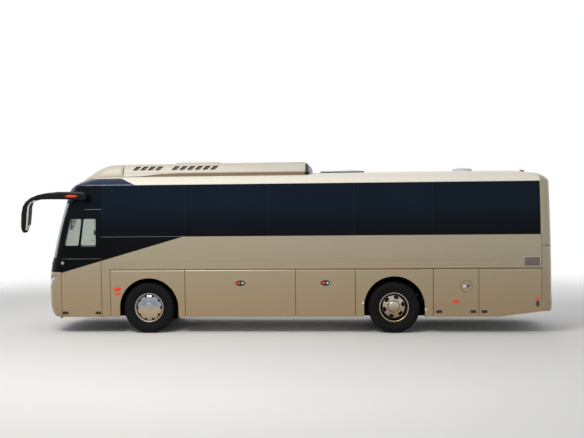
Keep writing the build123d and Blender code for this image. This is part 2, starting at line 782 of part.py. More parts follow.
def passenger_seats():
    """Rows of double seats on both sides of the aisle and a bench across the rear."""
    seats = []
    for i in range(seat_rows):
        x0 = first_seat_x + i * seat_pitch
        seat = side_prism([(x0 + x, floor_top_z + z) for x, z in seat_outline], *seat_y)
        seats += both(seat)
    return group(seats)


rack_x = (-650, tail_end_x - 445)


def luggage_racks():
    """Overhead racks along both sides."""
    rack = front_prism([(760, 2560), (1300, 2600), (1300, 2625), (770, 2585), (770, 2660), (760, 2660)],
                       *rack_x)
    return group(both(rack & inside))


# Driver's seat: front X, middle Y, half width, cushion and back heights over the platform
driver_seat_x = -1330
driver_y = -650
driver_seat_half = 250
driver_cushion = (300, 420)
driver_back_top = 1120


def driver_seat():
    """Driver's seat: pedestal, cushion and leaning back."""
    x0 = driver_seat_x
    low, high = (platform_z + z for z in driver_cushion)
    y = (driver_y - driver_seat_half, driver_y + driver_seat_half)
    pedestal = block(x0 + 130, x0 + 430, driver_y - 150, driver_y + 150, platform_z, low)
    cushion = block(x0, x0 + 480, *y, low, high)
    back = side_prism([(x0 + 430, high - 20), (x0 + 530, high - 20), (x0 + 620, platform_z + driver_back_top),
                       (x0 + 530, platform_z + driver_back_top)], *y)
    return pedestal + cushion + back


def dashboard():
    """Instrument panel across the nose under the windscreen."""
    outline = [(-2400, platform_z), (-1780, platform_z), (-1700, 1250), (-1660, 1330), (-1700, 1400),
               (-2400, 1400)]
    return inside_free & side_prism(outline, -1150, 560)


# Eight sided section of the steering wheel's rim: radial and axial distance from its middle
wheel_rim_section = [(16, 6), (6, 16), (-6, 16), (-16, 6), (-16, -6), (-6, -16), (6, -16), (16, -6)]


def steering_wheel():
    """Steering wheel with its column up from the platform."""
    tilt = 70
    hub = (-1440, -650, 1500)
    section = make_face(Polyline(*[(235 + x, 0, z) for x, z in wheel_rim_section], close=True))
    rim = revolve(section, axis=Axis.Z)
    spokes = Box(440, 34, 14) + Box(34, 440, 14) + Cylinder(60, 40)
    wheel = Pos(*hub) * (Rot(0, -(90 - tilt), 0) * (rim + spokes))
    direction = Vector(-sin(radians(90 - tilt)), 0, -cos(radians(90 - tilt)))
    reach = (hub[2] - platform_z) / cos(radians(90 - tilt))
    base = Vector(*hub)
    column = extrude(Plane(base, z_dir=direction) * Circle(32), amount=reach)
    return (wheel + column) & block(-3000, 0, -1400, 0, platform_z, 3000)


def engine():
    """Engine as one plain block between the rear rails."""
    return block(wheelbase + 1400, tail_end_x - 485, -rail_inner + seat_gap, rail_inner - seat_gap, 520, 1180)


# Front beam: half depth along X, height, and half length of its middle
beam_half = 45
beam_z = (tyre_radius - 110, tyre_radius - 10)
beam_end_y = 700
eye_half = 50
spring_y = rail_inner + rail_width / 2


def front_axle():
    """Dropped front beam with king pin eyes and two air springs."""
    beam = block(-beam_half, beam_half, -beam_end_y, beam_end_y, *beam_z)
    height = rail_bottom_z - seat_gap - beam_z[1]
    spring = Pos(0, spring_y, beam_z[1] + height / 2) * Cylinder(100, height)
    eye = block(-40, 40, beam_end_y - 10, kingpin_y, tyre_radius - eye_half, tyre_radius + eye_half)
    eye += block(-40, 40, beam_end_y - 60, beam_end_y + 10, beam_z[0], tyre_radius + eye_half)
    eye += Pos(0, kingpin_y, tyre_radius) * Cylinder(55, 110)
    eye -= Pos(0, kingpin_y, tyre_radius) * Cylinder(kingpin_radius + running_gap, 200)
    for piece in both(spring) + both(eye):
        beam += piece
    return beam


# Steering knuckle: fork height over the eye's middle, fork and web thickness, end of the spindle
fork_z = 75
fork_thick = 30
web_y = (66, 100)
spindle_end_y = 1165


def knuckle(side):
    """Steering knuckle: fork and pin through the beam's eye, and the spindle."""
    body = Pos(0, kingpin_y, 0) * Cylinder(kingpin_radius, 2 * fork_z + 10)
    for z in (-fork_z, fork_z):
        body += Pos(0, kingpin_y, z) * Cylinder(48, fork_thick)
        body += block(-45, 45, kingpin_y, kingpin_y + web_y[1], z - fork_thick / 2, z + fork_thick / 2)
    body += block(-45, 45, kingpin_y + web_y[0], kingpin_y + web_y[1], -fork_z - 15, fork_z + 15)
    spindle_y = kingpin_y + web_y[1] - 10
    length = spindle_end_y - spindle_y
    body += Pos(0, spindle_y + length / 2, 0) * (Rot(90, 0, 0) * Cylinder(spindle_radius, length))
    right = Pos(0, 0, tyre_radius) * body
    return right if side > 0 else mirror(right, about=Plane.XZ)


# Round middle of the rear axle: radius and distance along the axle
banjo_profile = [(0, -230), (90, -220), (175, -120), (210, 0), (175, 120), (90, 220), (0, 230)]


def rear_axle():
    """Rear axle tube with its round middle, four air springs and their beams."""
    z = tyre_radius
    axle = Pos(wheelbase, 0, z) * (Rot(90, 0, 0) * Cylinder(80, 1000))
    banjo = revolve(make_face(Polyline(*[(r, 0, d) for r, d in banjo_profile], close=True)), axis=Axis.Z)
    axle += Pos(wheelbase, 0, z) * (Rot(90, 0, 0) * banjo)
    axle += Pos(wheelbase, 0, z) * (Rot(90, 0, 0) * Cylinder(rear_spindle_radius, 2 * 1080))
    beam = block(wheelbase - 400, wheelbase + 400, spring_y - 45, spring_y + 45, z - 90, z - 60)
    beam += block(wheelbase - 60, wheelbase + 60, spring_y - 45, spring_y + 45, z - 90, z)
    height = rail_bottom_z - seat_gap - z + 60
    for dx in (-330, 330):
        beam += Pos(wheelbase + dx, spring_y, z - 60 + height / 2) * Cylinder(95, height)
    for piece in both(beam):
        axle += piece
    return axle


def turned(outline, y, side):
    """Body of revolution about a wheel's axis. Outline columns: radius, distance outboard of its middle."""
    pts = [(r, 0, d) for r, d in outline]
    solid = revolve(make_face(Polyline(*pts, close=True)), axis=Axis.Z)
    return Pos(0, side * y, tyre_radius) * (Rot(-90 * side, 0, 0) * solid)


def tyre(y, side):
    """Tyre with a flat tread and sloped shoulders."""
    h = tyre_width / 2
    bead = rim_radius - 8
    bulge = bead + 105
    outline = [(bead, -h + 45), (bulge, -h), (tyre_radius - 26, -h + 15), (tyre_radius, -h + 48),
               (tyre_radius, h - 48), (tyre_radius - 26, h - 15), (bulge, h), (bead, h - 45)]
    return turned(outline, y, side)


# Hand holes of the wheel discs: count, radius of their circle, length and width
hand_holes = 6
hand_hole_radius = 190
hand_hole_size = (70, 42)


def rim(y, side, hub_radius, dish):
    """Rim barrel with lips and a disc with hand holes; dish is the disc's place outboard of the middle."""
    h = tyre_width / 2 - 40
    b = rim_radius - 8 - seat_gap
    lip = rim_radius + rim_lip - 20
    outline = [(b - 14, -h + 12), (b - 14, dish - 8), (hub_radius, dish - 8), (hub_radius, dish + 8),
               (b - 14, dish + 8), (b - 14, h - 6), (lip - 8, h + 4), (lip - 8, h - 1), (b, h - 8),
               (b, -h + 8), (lip - 8, -h + 1), (lip - 8, -h - 4)]
    disc = turned(outline, y, side)
    hole = extrude(SlotOverall(*hand_hole_size, rotation=90), amount=wall, both=True)
    hole = Pos(hand_hole_radius, 0, dish) * hole
    for i in range(hand_holes):
        turned_hole = Rot(-90 * side, 0, 0) * (Rot(0, 0, 360 / hand_holes * (i + 0.5)) * hole)
        disc -= Pos(0, side * y, tyre_radius) * turned_hole
    return disc


# Hubs. Columns: radius, distance outboard of the wheel's middle, from the bore round to the closed cap
front_hub = [(105, -2), (105, 72), (120, 86), (88, 118), (0, 122), (0, 118.4)]
rear_hub = [(145, -345), (145, -90), (110, -60), (110, 50), (90, 66), (0, 70), (0, 46)]


def hub(table, bore):
    """Section of a hub, closed along its bore."""
    return [(bore, table[0][1])] + table + [(bore, table[-1][1])]


def front_rim(side):
    """Front wheel: disc near the outer face, hub on the spindle and its closed cap."""
    disc = rim(front_wheel_y, side, 100, 60)
    return disc + turned(hub(front_hub, spindle_radius + running_gap), front_wheel_y, side)


def rear_rims(side):
    """Twin rear wheels: outer disc dished inwards, inner disc outwards, one hub through both."""
    wheels = rim(twin_outer_y, side, 140, -130)
    wheels += rim(twin_outer_y - twin_pitch, side, 140, 160)
    wheels += turned(hub(rear_hub, rear_spindle_radius + running_gap), twin_outer_y, side)
    return Pos(wheelbase, 0, 0) * wheels


# Mirrors: one horn from the cab side, forward and down. Side outline: the upper edge and its bend, the head's
# front and foot, and the lower edge back to the root. Columns: X and Z
mirror_top = [(-1240, 2822), (-1850, 2826), (-2300, 2715), (-2470, 2440)]
mirror_front = [(mirror_tip_x, 2200), (-2478, 2080), (-2430, 2016), (-2375, 2040), (-2335, 2180)]
mirror_low = [(-2310, 2450), (-2262, 2612), (-2120, 2675), (-1260, 2655)]
mirror_root_x = -1180
# Front outline of one horn, half width about its middle at each height
mirror_y = 1380
mirror_halves = [(2830, 40), (2620, 46), (2520, 108), (2070, 108), (2010, 76)]
mirror_foot = (-1330, -1190, -1400, -1160, 2680, 2790)


def mirrors():
    """Two mirrors: each a flat sided horn that widens into the housing, on a foot at the cab side."""
    start, top, bend, front = [(x, 0, z) for x, z in mirror_top]
    low, low_bend, low_top, back = [(x, 0, z) for x, z in mirror_low]
    outline = Line(start, top) + ThreePointArc(top, bend, front)
    outline += Polyline(front, *[(x, 0, z) for x, z in mirror_front], low)
    outline += ThreePointArc(low, low_bend, low_top) + Line(low_top, back)
    outline += ThreePointArc(back, (mirror_root_x, 0, (mirror_top[0][1] + mirror_low[-1][1]) / 2), start)
    horn = extrude(make_face(outline), amount=mirror_y + 200, dir=(0, -1, 0))
    left_side = [(-mirror_y - w, z) for z, w in mirror_halves]
    right_side = [(-mirror_y + w, z) for z, w in reversed(mirror_halves)]
    horn &= front_prism(left_side + right_side, -2600, -1000)
    foot = block(*mirror_foot) - wall_hull(-seat_gap)
    return group(both(horn + foot))


def knuckle_rim_tyre():
    """Nodes of the four wheels and the two knuckles."""
    nodes = {}
    for name, side in (("left", -1), ("right", 1)):
        nodes["knuckle_" + name] = knuckle(side)
        nodes["rim_front_" + name] = front_rim(side)
        nodes["tyre_front_" + name] = tyre(front_wheel_y, side)
        nodes["rims_rear_" + name] = rear_rims(side)
        twins = [Pos(wheelbase, 0, 0) * tyre(y, side) for y in (twin_outer_y, twin_outer_y - twin_pitch)]
        nodes["tyres_rear_" + name] = group(twins)
    return nodes


nodes = {
    "chassis": chassis(),
    "floor_deck": floor_deck(),
    "entry_steps": entry_steps(),
    "luggage_hold": luggage_hold(),
    "wheel_arches": wheel_arches(),
    "skirts": skirts(),
    "waist_panels": waist_panels(),
    "window_pillars": window_pillars(),
    "side_glass": side_glass(),
    "cab_sides": cab_sides(),
    "driver_window": driver_window(),
    "front_mask": front_mask(),
    "headlamps": headlamps(),
    "windscreen": windscreen(),
    "roof": roof(),
    "roof_fairing": roof_fairing(),
    "ac_unit": ac_unit(),
    "ac_covers": ac_covers(),
    "hatch_curb": hatch_curb(),
    "roof_hatch": roof_hatch(),
    "roof_vent": roof_vent(),
    "rear_frame": rear_frame(),
    "rear_window": rear_window(),
    "engine_lid": engine_lid(),
    "lamps": lamps(),
    "mirrors": mirrors(),
    "dashboard": dashboard(),
    "steering_wheel": steering_wheel(),
    "driver_seat": driver_seat(),
    "passenger_seats": passenger_seats(),
    "luggage_racks": luggage_racks(),
    "engine": engine(),
    "front_axle": front_axle(),
    "rear_axle": rear_axle(),
    "driver_flap": driver_flap(),
    "entry_door": entry_door() + door_bracket(),
    "entry_door_glass": entry_door_glass(),
    "door_arm": door_arm(),
    "side_flap_left": side_flap_left(),
    "side_flap_right": flap(arch_panel_rear[1], side_flap_rear_x, 1),
    "fuel_flap": fuel_flap(),
}
nodes.update(knuckle_rim_tyre())
for name, side in (("left", -1), ("right", 1)):
    nodes["luggage_flap_front_" + name] = flap(arch_panel_front[1], hold_middle_x, side)
    nodes["luggage_flap_rear_" + name] = flap(hold_middle_x, hold_rear_x, side)
    nodes["corner_flap_" + name] = flap(side_flap_rear_x, tail_x, side)

os.makedirs("parts", exist_ok=True)
for name, shape in nodes.items():
    export_step(Pos(-middle_x, 0, 0) * shape, "parts/" + name + ".step")
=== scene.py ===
import bpy, bmesh
from bisect import bisect_right
from math import acos, asin, atan2, ceil, copysign, cos, hypot, pi, radians, sin, sqrt
from mathutils import Matrix, Vector


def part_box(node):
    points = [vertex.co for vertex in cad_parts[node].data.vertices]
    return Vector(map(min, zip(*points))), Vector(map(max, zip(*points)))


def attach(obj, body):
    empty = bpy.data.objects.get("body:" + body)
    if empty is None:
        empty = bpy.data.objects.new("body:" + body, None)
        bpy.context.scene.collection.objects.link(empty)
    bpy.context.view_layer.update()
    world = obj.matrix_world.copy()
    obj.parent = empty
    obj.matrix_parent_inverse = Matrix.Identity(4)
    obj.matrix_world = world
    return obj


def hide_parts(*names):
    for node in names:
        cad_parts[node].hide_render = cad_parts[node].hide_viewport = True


# A coach bus. Metres, X to the rear, Y to the right-hand side, Z up.
# X is counted from the front axle here, and addPiece moves each piece to the frame's own X.

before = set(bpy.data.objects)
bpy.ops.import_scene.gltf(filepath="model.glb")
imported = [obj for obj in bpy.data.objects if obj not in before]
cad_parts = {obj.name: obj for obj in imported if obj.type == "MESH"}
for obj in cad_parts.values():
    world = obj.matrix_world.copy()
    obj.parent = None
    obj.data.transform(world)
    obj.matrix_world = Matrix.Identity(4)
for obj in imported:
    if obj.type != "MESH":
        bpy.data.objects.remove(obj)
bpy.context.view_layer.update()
frontAxleX = sum(corner.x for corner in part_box("front_axle")) / 2
scene = bpy.context.scene
print("frame loaded, front axle at", round(frontAxleX, 4))


# Materials

def rgb(red, green, blue):
    return tuple(((c / 255 + 0.055) / 1.055) ** 2.4 if c > 10 else c / 255 / 12.92 for c in (red, green, blue)) + (1,)


def finish(name, colour, rough, metal=0.0, spread=0.05, spreadScale=3.0, roughSpread=0.06, grain=(60.0, 0.05, 0.001),
           paintedLowReflection=None, paintedReflectionZ=(0.35, 1.9), cell=False, **sockets):
    # colour clouded by noise, or running from paintedLowReflection to colour between two heights as a painted
    # reflection of ground and sky, with fine grain as bump
    made = bpy.data.materials.new(name)
    made.use_nodes = True
    nodes, links = made.node_tree.nodes, made.node_tree.links
    shader = nodes["Principled BSDF"]
    where = nodes.new("ShaderNodeTexCoord")
    cloud = nodes.new("ShaderNodeTexNoise")
    cloud.inputs["Scale"].default_value = spreadScale
    cloud.inputs["Detail"].default_value = 6
    links.new(where.outputs["Object"], cloud.inputs["Vector"])
    tint = nodes.new("ShaderNodeMix")
    tint.data_type = "RGBA"
    links.new(cloud.outputs["Fac"], tint.inputs["Factor"])
    for socket, share in (("A", 1 - spread), ("B", 1 + spread)):
        tint.inputs[socket].default_value = tuple(min(1, c * share) for c in colour[:3]) + (1,)
    # painted reflection: the colour changes with height as if mirroring the ground below and the sky above
    if paintedLowReflection:
        split = nodes.new("ShaderNodeSeparateXYZ")
        links.new(where.outputs["Object"], split.inputs["Vector"])
        height = nodes.new("ShaderNodeMapRange")
        height.interpolation_type = "SMOOTHSTEP"
        height.inputs["From Min"].default_value, height.inputs["From Max"].default_value = paintedReflectionZ
        links.new(split.outputs["Z"], height.inputs["Value"])
        lower = nodes.new("ShaderNodeMix")
        lower.data_type = "RGBA"
        lower.inputs["A"].default_value = paintedLowReflection
        links.new(height.outputs["Result"], lower.inputs["Factor"])
        links.new(tint.outputs["Result"], lower.inputs["B"])
        links.new(lower.outputs["Result"], shader.inputs["Base Color"])
    else:
        links.new(tint.outputs["Result"], shader.inputs["Base Color"])
    span = nodes.new("ShaderNodeMapRange")
    span.inputs["To Min"].default_value = max(0.02, rough - roughSpread)
    span.inputs["To Max"].default_value = min(1, rough + roughSpread)
    links.new(cloud.outputs["Fac"], span.inputs["Value"])
    links.new(span.outputs["Result"], shader.inputs["Roughness"])
    if grain:
        fine = nodes.new("ShaderNodeTexVoronoi" if cell else "ShaderNodeTexNoise")
        fine.inputs["Scale"].default_value = grain[0]
        links.new(where.outputs["Object"], fine.inputs["Vector"])
        bump = nodes.new("ShaderNodeBump")
        bump.inputs["Strength"].default_value = grain[1]
        bump.inputs["Distance"].default_value = grain[2]
        links.new(fine.outputs["Distance" if cell else "Fac"], bump.inputs["Height"])
        links.new(bump.outputs["Normal"], shader.inputs["Normal"])
    shader.inputs["Metallic"].default_value = metal
    for socket, value in sockets.items():
        shader.inputs[socket.replace("_", " ")].default_value = value
    return made


# gold paint, warmer and browner towards the bottom: a painted reflection of the ground
goldPaint = finish("gold paint", rgb(152, 142, 119), 0.34, metal=0.25, spread=0.04, spreadScale=0.8, roughSpread=0.05,
                   grain=(3.0, 0.12, 0.004), paintedLowReflection=rgb(152, 130, 97), paintedReflectionZ=(0.3, 1.95),
                   Coat_Weight=0.5, Coat_Roughness=0.06)
# the gold paint painted cream where light falls on the roof and cove: a lit copy of the gold, also used as the
# mirrors' painted highlight
paintedSunlitCream = finish("painted sunlit cream", rgb(224, 219, 205), 0.46, spread=0.03, spreadScale=1.2, grain=(3.0, 0.1, 0.004),
                    Coat_Weight=0.05, Coat_Roughness=0.35, Specular_IOR_Level=0.15)
acPaint = finish("air conditioner paint", rgb(188, 182, 167), 0.42, spread=0.04, spreadScale=2.0,
                 grain=(5.0, 0.12, 0.004))
# gloss black, bluer towards the top and blacker below: a painted sky reflection
blackPaint = finish("gloss black paint", rgb(9, 16, 24), 0.1, spread=0.12, spreadScale=1.0, roughSpread=0.04,
                    grain=(2.5, 0.1, 0.004), paintedLowReflection=rgb(3, 4, 6), paintedReflectionZ=(1.5, 2.9), Specular_IOR_Level=0.07)
# black paint tinted blue for the brow: a painted sky reflection
blackWithPaintedSky = finish("black paint with painted sky", rgb(26, 40, 66), 0.12, spread=0.15, spreadScale=1.5, roughSpread=0.04,
                   grain=(2.5, 0.1, 0.004), Specular_IOR_Level=0.3)
hornPaint = finish("mirror housing paint", rgb(8, 10, 14), 0.16, spread=0.12, spreadScale=2.0, roughSpread=0.04,
                   grain=(4.0, 0.1, 0.003), Specular_IOR_Level=0.16)
mirrorGlass = finish("mirror glass", rgb(66, 74, 82), 0.05, metal=1.0, spread=0.05, roughSpread=0.02,
                     grain=(2.0, 0.03, 0.001))
lampSilver = finish("lamp reflector", rgb(250, 252, 254), 0.3, spread=0.03, spreadScale=30.0,
                    grain=(90.0, 0.4, 0.002), cell=True)
# dark glass, bluer towards the top: a painted sky reflection
darkGlass = finish("dark side glass", rgb(11, 24, 36), 0.05, spread=0.3, spreadScale=0.7, roughSpread=0.02,
                   grain=(1.2, 0.06, 0.004), paintedLowReflection=rgb(7, 11, 17), paintedReflectionZ=(1.95, 2.6), Specular_IOR_Level=0.06)
clearGlass = finish("clear glass", rgb(207, 212, 205), 0.03, spread=0.02, roughSpread=0.01, grain=(1.5, 0.03, 0.002),
                    Transmission_Weight=0.92, IOR=1.12, Specular_IOR_Level=0.35)
lampGlass = finish("lamp glass", rgb(235, 240, 244), 0.03, spread=0.02, roughSpread=0.01, grain=(2.0, 0.03, 0.001),
                   Transmission_Weight=0.9, IOR=1.2)
blackPlastic = finish("black plastic", rgb(20, 20, 21), 0.5, spread=0.2, spreadScale=8.0, grain=(900.0, 0.35, 0.0008))
rubber = finish("rubber seal", rgb(15, 15, 16), 0.62, spread=0.2, spreadScale=10.0, grain=(400.0, 0.2, 0.0008))
tyreRubber = finish("tyre rubber", rgb(13, 13, 14), 0.75, spread=0.25, spreadScale=9.0, grain=(260.0, 0.4, 0.001),
                    Specular_IOR_Level=0.14)
chrome = finish("chrome", rgb(205, 205, 206), 0.1, metal=1.0, spread=0.03, spreadScale=12.0, roughSpread=0.04,
                grain=(40.0, 0.05, 0.001))
# steel tinted tan over the wheels' lower half: a painted reflection of the ground
alloy = finish("polished steel", rgb(176, 168, 154), 0.24, metal=1.0, spread=0.08, spreadScale=20.0,
               grain=(160.0, 0.12, 0.001), paintedLowReflection=rgb(160, 140, 112), paintedReflectionZ=(0.36, 0.62))
# chrome tinted blue above and tan below: a painted reflection of sky and ground, turning with the wheel
coverChrome = finish("wheel cover chrome", rgb(140, 146, 155), 0.12, metal=1.0, spread=0.5, spreadScale=11.0,
                     roughSpread=0.06, grain=(16.0, 0.5, 0.006), paintedLowReflection=rgb(190, 170, 142), paintedReflectionZ=(0.44, 0.58))
rimPaint = finish("silver rim paint", rgb(158, 153, 146), 0.35, metal=0.6, spread=0.1, spreadScale=18.0)
# dark brown on the CAD rims, seen inside the wheels and between the cover's scallops: painted shade
rimShade = finish("painted shade in the rims", rgb(46, 34, 25), 0.5, metal=0.2, spread=0.2, spreadScale=16.0,
                  grain=(90.0, 0.3, 0.001))
linerBlack = finish("arch liner", rgb(9, 9, 10), 0.85, spread=0.3, spreadScale=9.0, grain=(120.0, 0.5, 0.002),
                    Specular_IOR_Level=0.15)
orangeLens = finish("orange lens", rgb(238, 62, 6), 0.2, spread=0.08, spreadScale=30.0, grain=(180.0, 0.5, 0.002),
                    cell=True, Coat_Weight=0.2, Specular_IOR_Level=0.2)
redLens = finish("red lens", rgb(150, 16, 14), 0.14, spread=0.08, spreadScale=30.0, grain=(150.0, 0.5, 0.002),
                 cell=True, Coat_Weight=0.6)
whitePlastic = finish("white plastic", rgb(212, 217, 222), 0.38, spread=0.04, spreadScale=6.0,
                      grain=(300.0, 0.15, 0.0008))
ventDark = finish("vent grille", rgb(56, 42, 36), 0.5, spread=0.2, spreadScale=30.0, grain=(70.0, 0.6, 0.004),
                  cell=True)
meshGrille = finish("mesh grille", rgb(110, 98, 96), 0.45, metal=0.3, spread=0.1, spreadScale=20.0,
                    grain=(150.0, 0.9, 0.006), cell=True)
frameSteel = finish("frame steel", rgb(28, 29, 30), 0.6, metal=0.3, spread=0.25, spreadScale=7.0,
                    grain=(120.0, 0.3, 0.001))
engineIron = finish("engine iron", rgb(98, 96, 92), 0.6, metal=0.6, spread=0.25, spreadScale=6.0,
                    grain=(90.0, 0.5, 0.002))
innerTrim = finish("inner trim", rgb(166, 164, 156), 0.7, spread=0.06, spreadScale=6.0, grain=(300.0, 0.3, 0.001))
seatCloth = finish("seat cloth", rgb(78, 84, 104), 0.9, spread=0.18, spreadScale=14.0, grain=(420.0, 0.7, 0.0015),
                   cell=True, Sheen_Weight=0.35)
# light grey for trims, and for painted highlights along the seams under the driver's window
trimAndHighlightGrey = finish("trim and painted highlight grey", rgb(112, 118, 126), 0.35, metal=0.3, spread=0.1, spreadScale=6.0)
# orange-brown: a painted reflection of the ground on the waist's lower lip
groundReflectionStrip = finish("painted ground reflection strip", rgb(168, 122, 76), 0.4, metal=0.3, spread=0.1, spreadScale=12.0)
floorVinyl = finish("floor vinyl", rgb(96, 92, 86), 0.6, spread=0.15, spreadScale=4.0, grain=(220.0, 0.5, 0.001),
                    cell=True)
print("materials made")


# Shape of the body: plan sections at a height, with a bowed nose and tail, round corners and straight sides

body = dict(noseX=-2.145, tailX=7.945, noseFace=6.0, noseCorner=0.35, tailFace=14.0, tailCorner=0.235,
            skirtZ=0.324, skirtHalf=1.205, skirtHeight=0.938, skirtSpread=0.038, trimZ=1.262, gutterZ=2.949,
            barrel=[(1.243, 1.262), (1.250, 1.700), (1.165, 2.949)], wall=0.045, glass=0.010, gap=0.004, hair=0.0003,
            noseBack=[(0.324, 0.095), (0.400, 0.042), (0.550, 0.008), (0.850, 0.0), (1.060, 0.002), (1.262, 0.021),
                      (1.420, 0.051), (1.670, 0.107), (1.922, 0.163), (2.180, 0.224), (2.436, 0.293),
                      (2.690, 0.370), (2.860, 0.424), (2.949, 0.503), (3.034, 0.655), (3.108, 0.860)],
            tailBack=[(0.324, 0.028), (0.400, 0.015), (0.550, 0.0), (0.850, 0.008), (1.262, 0.012), (1.670, 0.018),
                      (2.180, 0.026), (2.690, 0.036), (2.949, 0.042), (3.034, 0.105), (3.108, 0.230)],
            roofHalf=[(2.949, 1.165), (3.034, 1.103), (3.108, 0.985)],
            crownZ=3.190, crownRise=0.082, edgeZ=3.108, edgeHalf=0.985, noseRun=0.63, tailRun=0.53)
gap = body["gap"]
sides = ((-1, "left"), (1, "right"))


def curveThrough(points):
    # smooth value between (place, value) points, each slope set by its two neighbours
    places = [p[0] for p in points]
    values = [p[1] for p in points]
    steps = [(values[i + 1] - values[i]) / (places[i + 1] - places[i]) for i in range(len(points) - 1)]
    slopes = [steps[0]]
    for before, after in zip(steps, steps[1:]):
        slopes.append(0 if before * after <= 0 else 2 * before * after / (before + after))
    slopes.append(steps[-1])

    def value(at):
        if at <= places[0]:
            return values[0]
        if at >= places[-1]:
            return values[-1]
        i = bisect_right(places, at) - 1
        span = places[i + 1] - places[i]
        t = (at - places[i]) / span
        return (values[i] * (1 + 2 * t) * (1 - t) ** 2 + slopes[i] * span * t * (1 - t) ** 2
                + values[i + 1] * t * t * (3 - 2 * t) - slopes[i + 1] * span * t * t * (1 - t))
    return value


noseBack = curveThrough(body["noseBack"])
tailBack = curveThrough(body["tailBack"])
roofHalf = curveThrough(body["roofHalf"])


def sideHalf(z):
    # half width: a straight skirt, one barrel arc above it, then the roof's cove
    if z <= body["trimZ"]:
        return body["skirtHalf"] + (z - body["skirtZ"]) * body["skirtSpread"] / body["skirtHeight"]
    if z > body["gutterZ"]:
        return roofHalf(z)
    return barrelMiddle + sqrt(barrelRadius ** 2 - (z - barrelZ) ** 2)


def circleThrough(a, b, c):
    # middle and radius of the circle through three points
    (w1, z1), (w2, z2), (w3, z3) = a, b, c
    m1, m2, m3 = (w * w + z * z for w, z in (a, b, c))
    d = 2 * (w1 * (z2 - z3) + w2 * (z3 - z1) + w3 * (z1 - z2))
    cw = (m1 * (z2 - z3) + m2 * (z3 - z1) + m3 * (z1 - z2)) / d
    cz = (m1 * (w3 - w2) + m2 * (w1 - w3) + m3 * (w2 - w1)) / d
    return cw, cz, hypot(w1 - cw, z1 - cz)


barrelMiddle, barrelZ, barrelRadius = circleThrough(*body["barrel"])


def endArcs(end, z):
    # the nose's or tail's two arcs at a height
    if end == "nose":
        way, tip, face, corner = 1, body["noseX"] + noseBack(z), body["noseFace"], body["noseCorner"]
    else:
        way, tip, face, corner = -1, body["tailX"] - tailBack(z), body["tailFace"], body["tailCorner"]
    cy = sideHalf(z) - corner
    reach = sqrt((face - corner) ** 2 - cy * cy)
    return way, tip, face, corner, cy, tip + way * (face - reach), atan2(cy, reach)


def endPoint(end, s, z):
    # point of the outer surface at arc length s from the middle of the nose or tail
    way, tip, face, corner, cy, cx, turn = endArcs(end, z)
    side, s = (-1, -s) if s < 0 else (1, s)
    if s <= face * turn:
        return Vector((tip + way * face * (1 - cos(s / face)), side * face * sin(s / face), z))
    b = turn + (s - face * turn) / corner
    if b <= pi / 2:
        return Vector((cx - way * corner * cos(b), side * (cy + corner * sin(b)), z))
    return Vector((cx + way * corner * (b - pi / 2), side * (cy + corner), z))


def sAtX(end, x, z):
    # arc length at which the surface reaches x
    way, tip, face, corner, cy, cx, turn = endArcs(end, z)
    if way * (x - cx) >= 0:
        return face * turn + corner * (pi / 2 - turn) + way * (x - cx)
    b = acos(max(-1, min(1, way * (cx - x) / corner)))
    return face * turn + corner * (b - turn)


def sAtY(end, y, z):
    # arc length at which the surface reaches half width y
    way, tip, face, corner, cy, cx, turn = endArcs(end, z)
    side, y = (-1, -y) if y < 0 else (1, y)
    if y <= face * sin(turn):
        return side * face * asin(y / face)
    return side * (face * turn + corner * (asin(min(1, (y - cy) / corner)) - turn))


def sidePoint(side, x, z):
    # point of the outer surface of a side at x
    half = sideHalf(z)
    for end in ("nose", "tail"):
        way, tip, face, corner, cy, cx, turn = endArcs(end, z)
        if way * (cx - x) > 0:
            half = cy + sqrt(max(0, corner ** 2 - (cx - x) ** 2))
    return Vector((x, side * half, z))


def surfaceMap(point, outward):
    # turns a point function of (u, v) into a map of (u, v, depth) that also gives the normal
    def place(u, v, depth):
        step = 0.002
        here = point(u, v)
        normal = (point(u + step, v) - point(u - step, v)).cross(point(u, v + step) - point(u, v - step))
        normal.normalize()
        if normal.dot(outward(here)) < 0:
            normal.negate()
        return here - normal * depth, normal
    return place


def sideMap(side, ease=None):
    # map for side panels from (x, z); ease is an inward offset by place
    def point(x, z):
        p = sidePoint(side, x, z)
        if ease:
            p.y -= side * ease(x, z)
        return p
    return surfaceMap(point, lambda p: Vector((0, side, 0)))


def endMap(end, ease=None):
    # map for nose or tail panels from (arc length, z)
    way = -1 if end == "nose" else 1

    def point(s, z):
        p = endPoint(end, s, z)
        if ease:
            p.x -= way * ease(s, z)
        return p
    return surfaceMap(point, lambda p: Vector((way, p.y * 0.8, 0)))


def planeMap(origin, right, up):
    # map for flat panels from two directions
    origin, right, up = Vector(origin), Vector(right).normalized(), Vector(up).normalized()
    normal = right.cross(up)
    return lambda u, v, depth: (origin + right * u + up * v - normal * depth, normal)


# Mesh helpers

def addPiece(name, bm, materials, rider="coach", slot="", nodes=(), sharp=35, normals=None):
    # turns mesh code's result into a piece that rides on a body and may stand for CAD nodes
    for vert in bm.verts:
        vert.co.x += frontAxleX
    mesh = bpy.data.meshes.new(name)
    bm.to_mesh(mesh)
    bm.free()
    for material in materials:
        mesh.materials.append(material)
    for polygon in mesh.polygons:
        polygon.use_smooth = True
    mesh.set_sharp_from_angle(angle=radians(sharp))
    if normals:
        mesh.normals_split_custom_set_from_vertices(normals)
    piece = bpy.data.objects.new(name, mesh)
    scene.collection.objects.link(piece)
    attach(piece, rider)
    if nodes:
        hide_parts(*nodes)
    return piece


def area2(loop):
    # area of a flat loop, above zero when it runs anticlockwise
    return sum(a[0] * b[1] - b[0] * a[1] for a, b in zip(loop, loop[1:] + loop[:1])) / 2


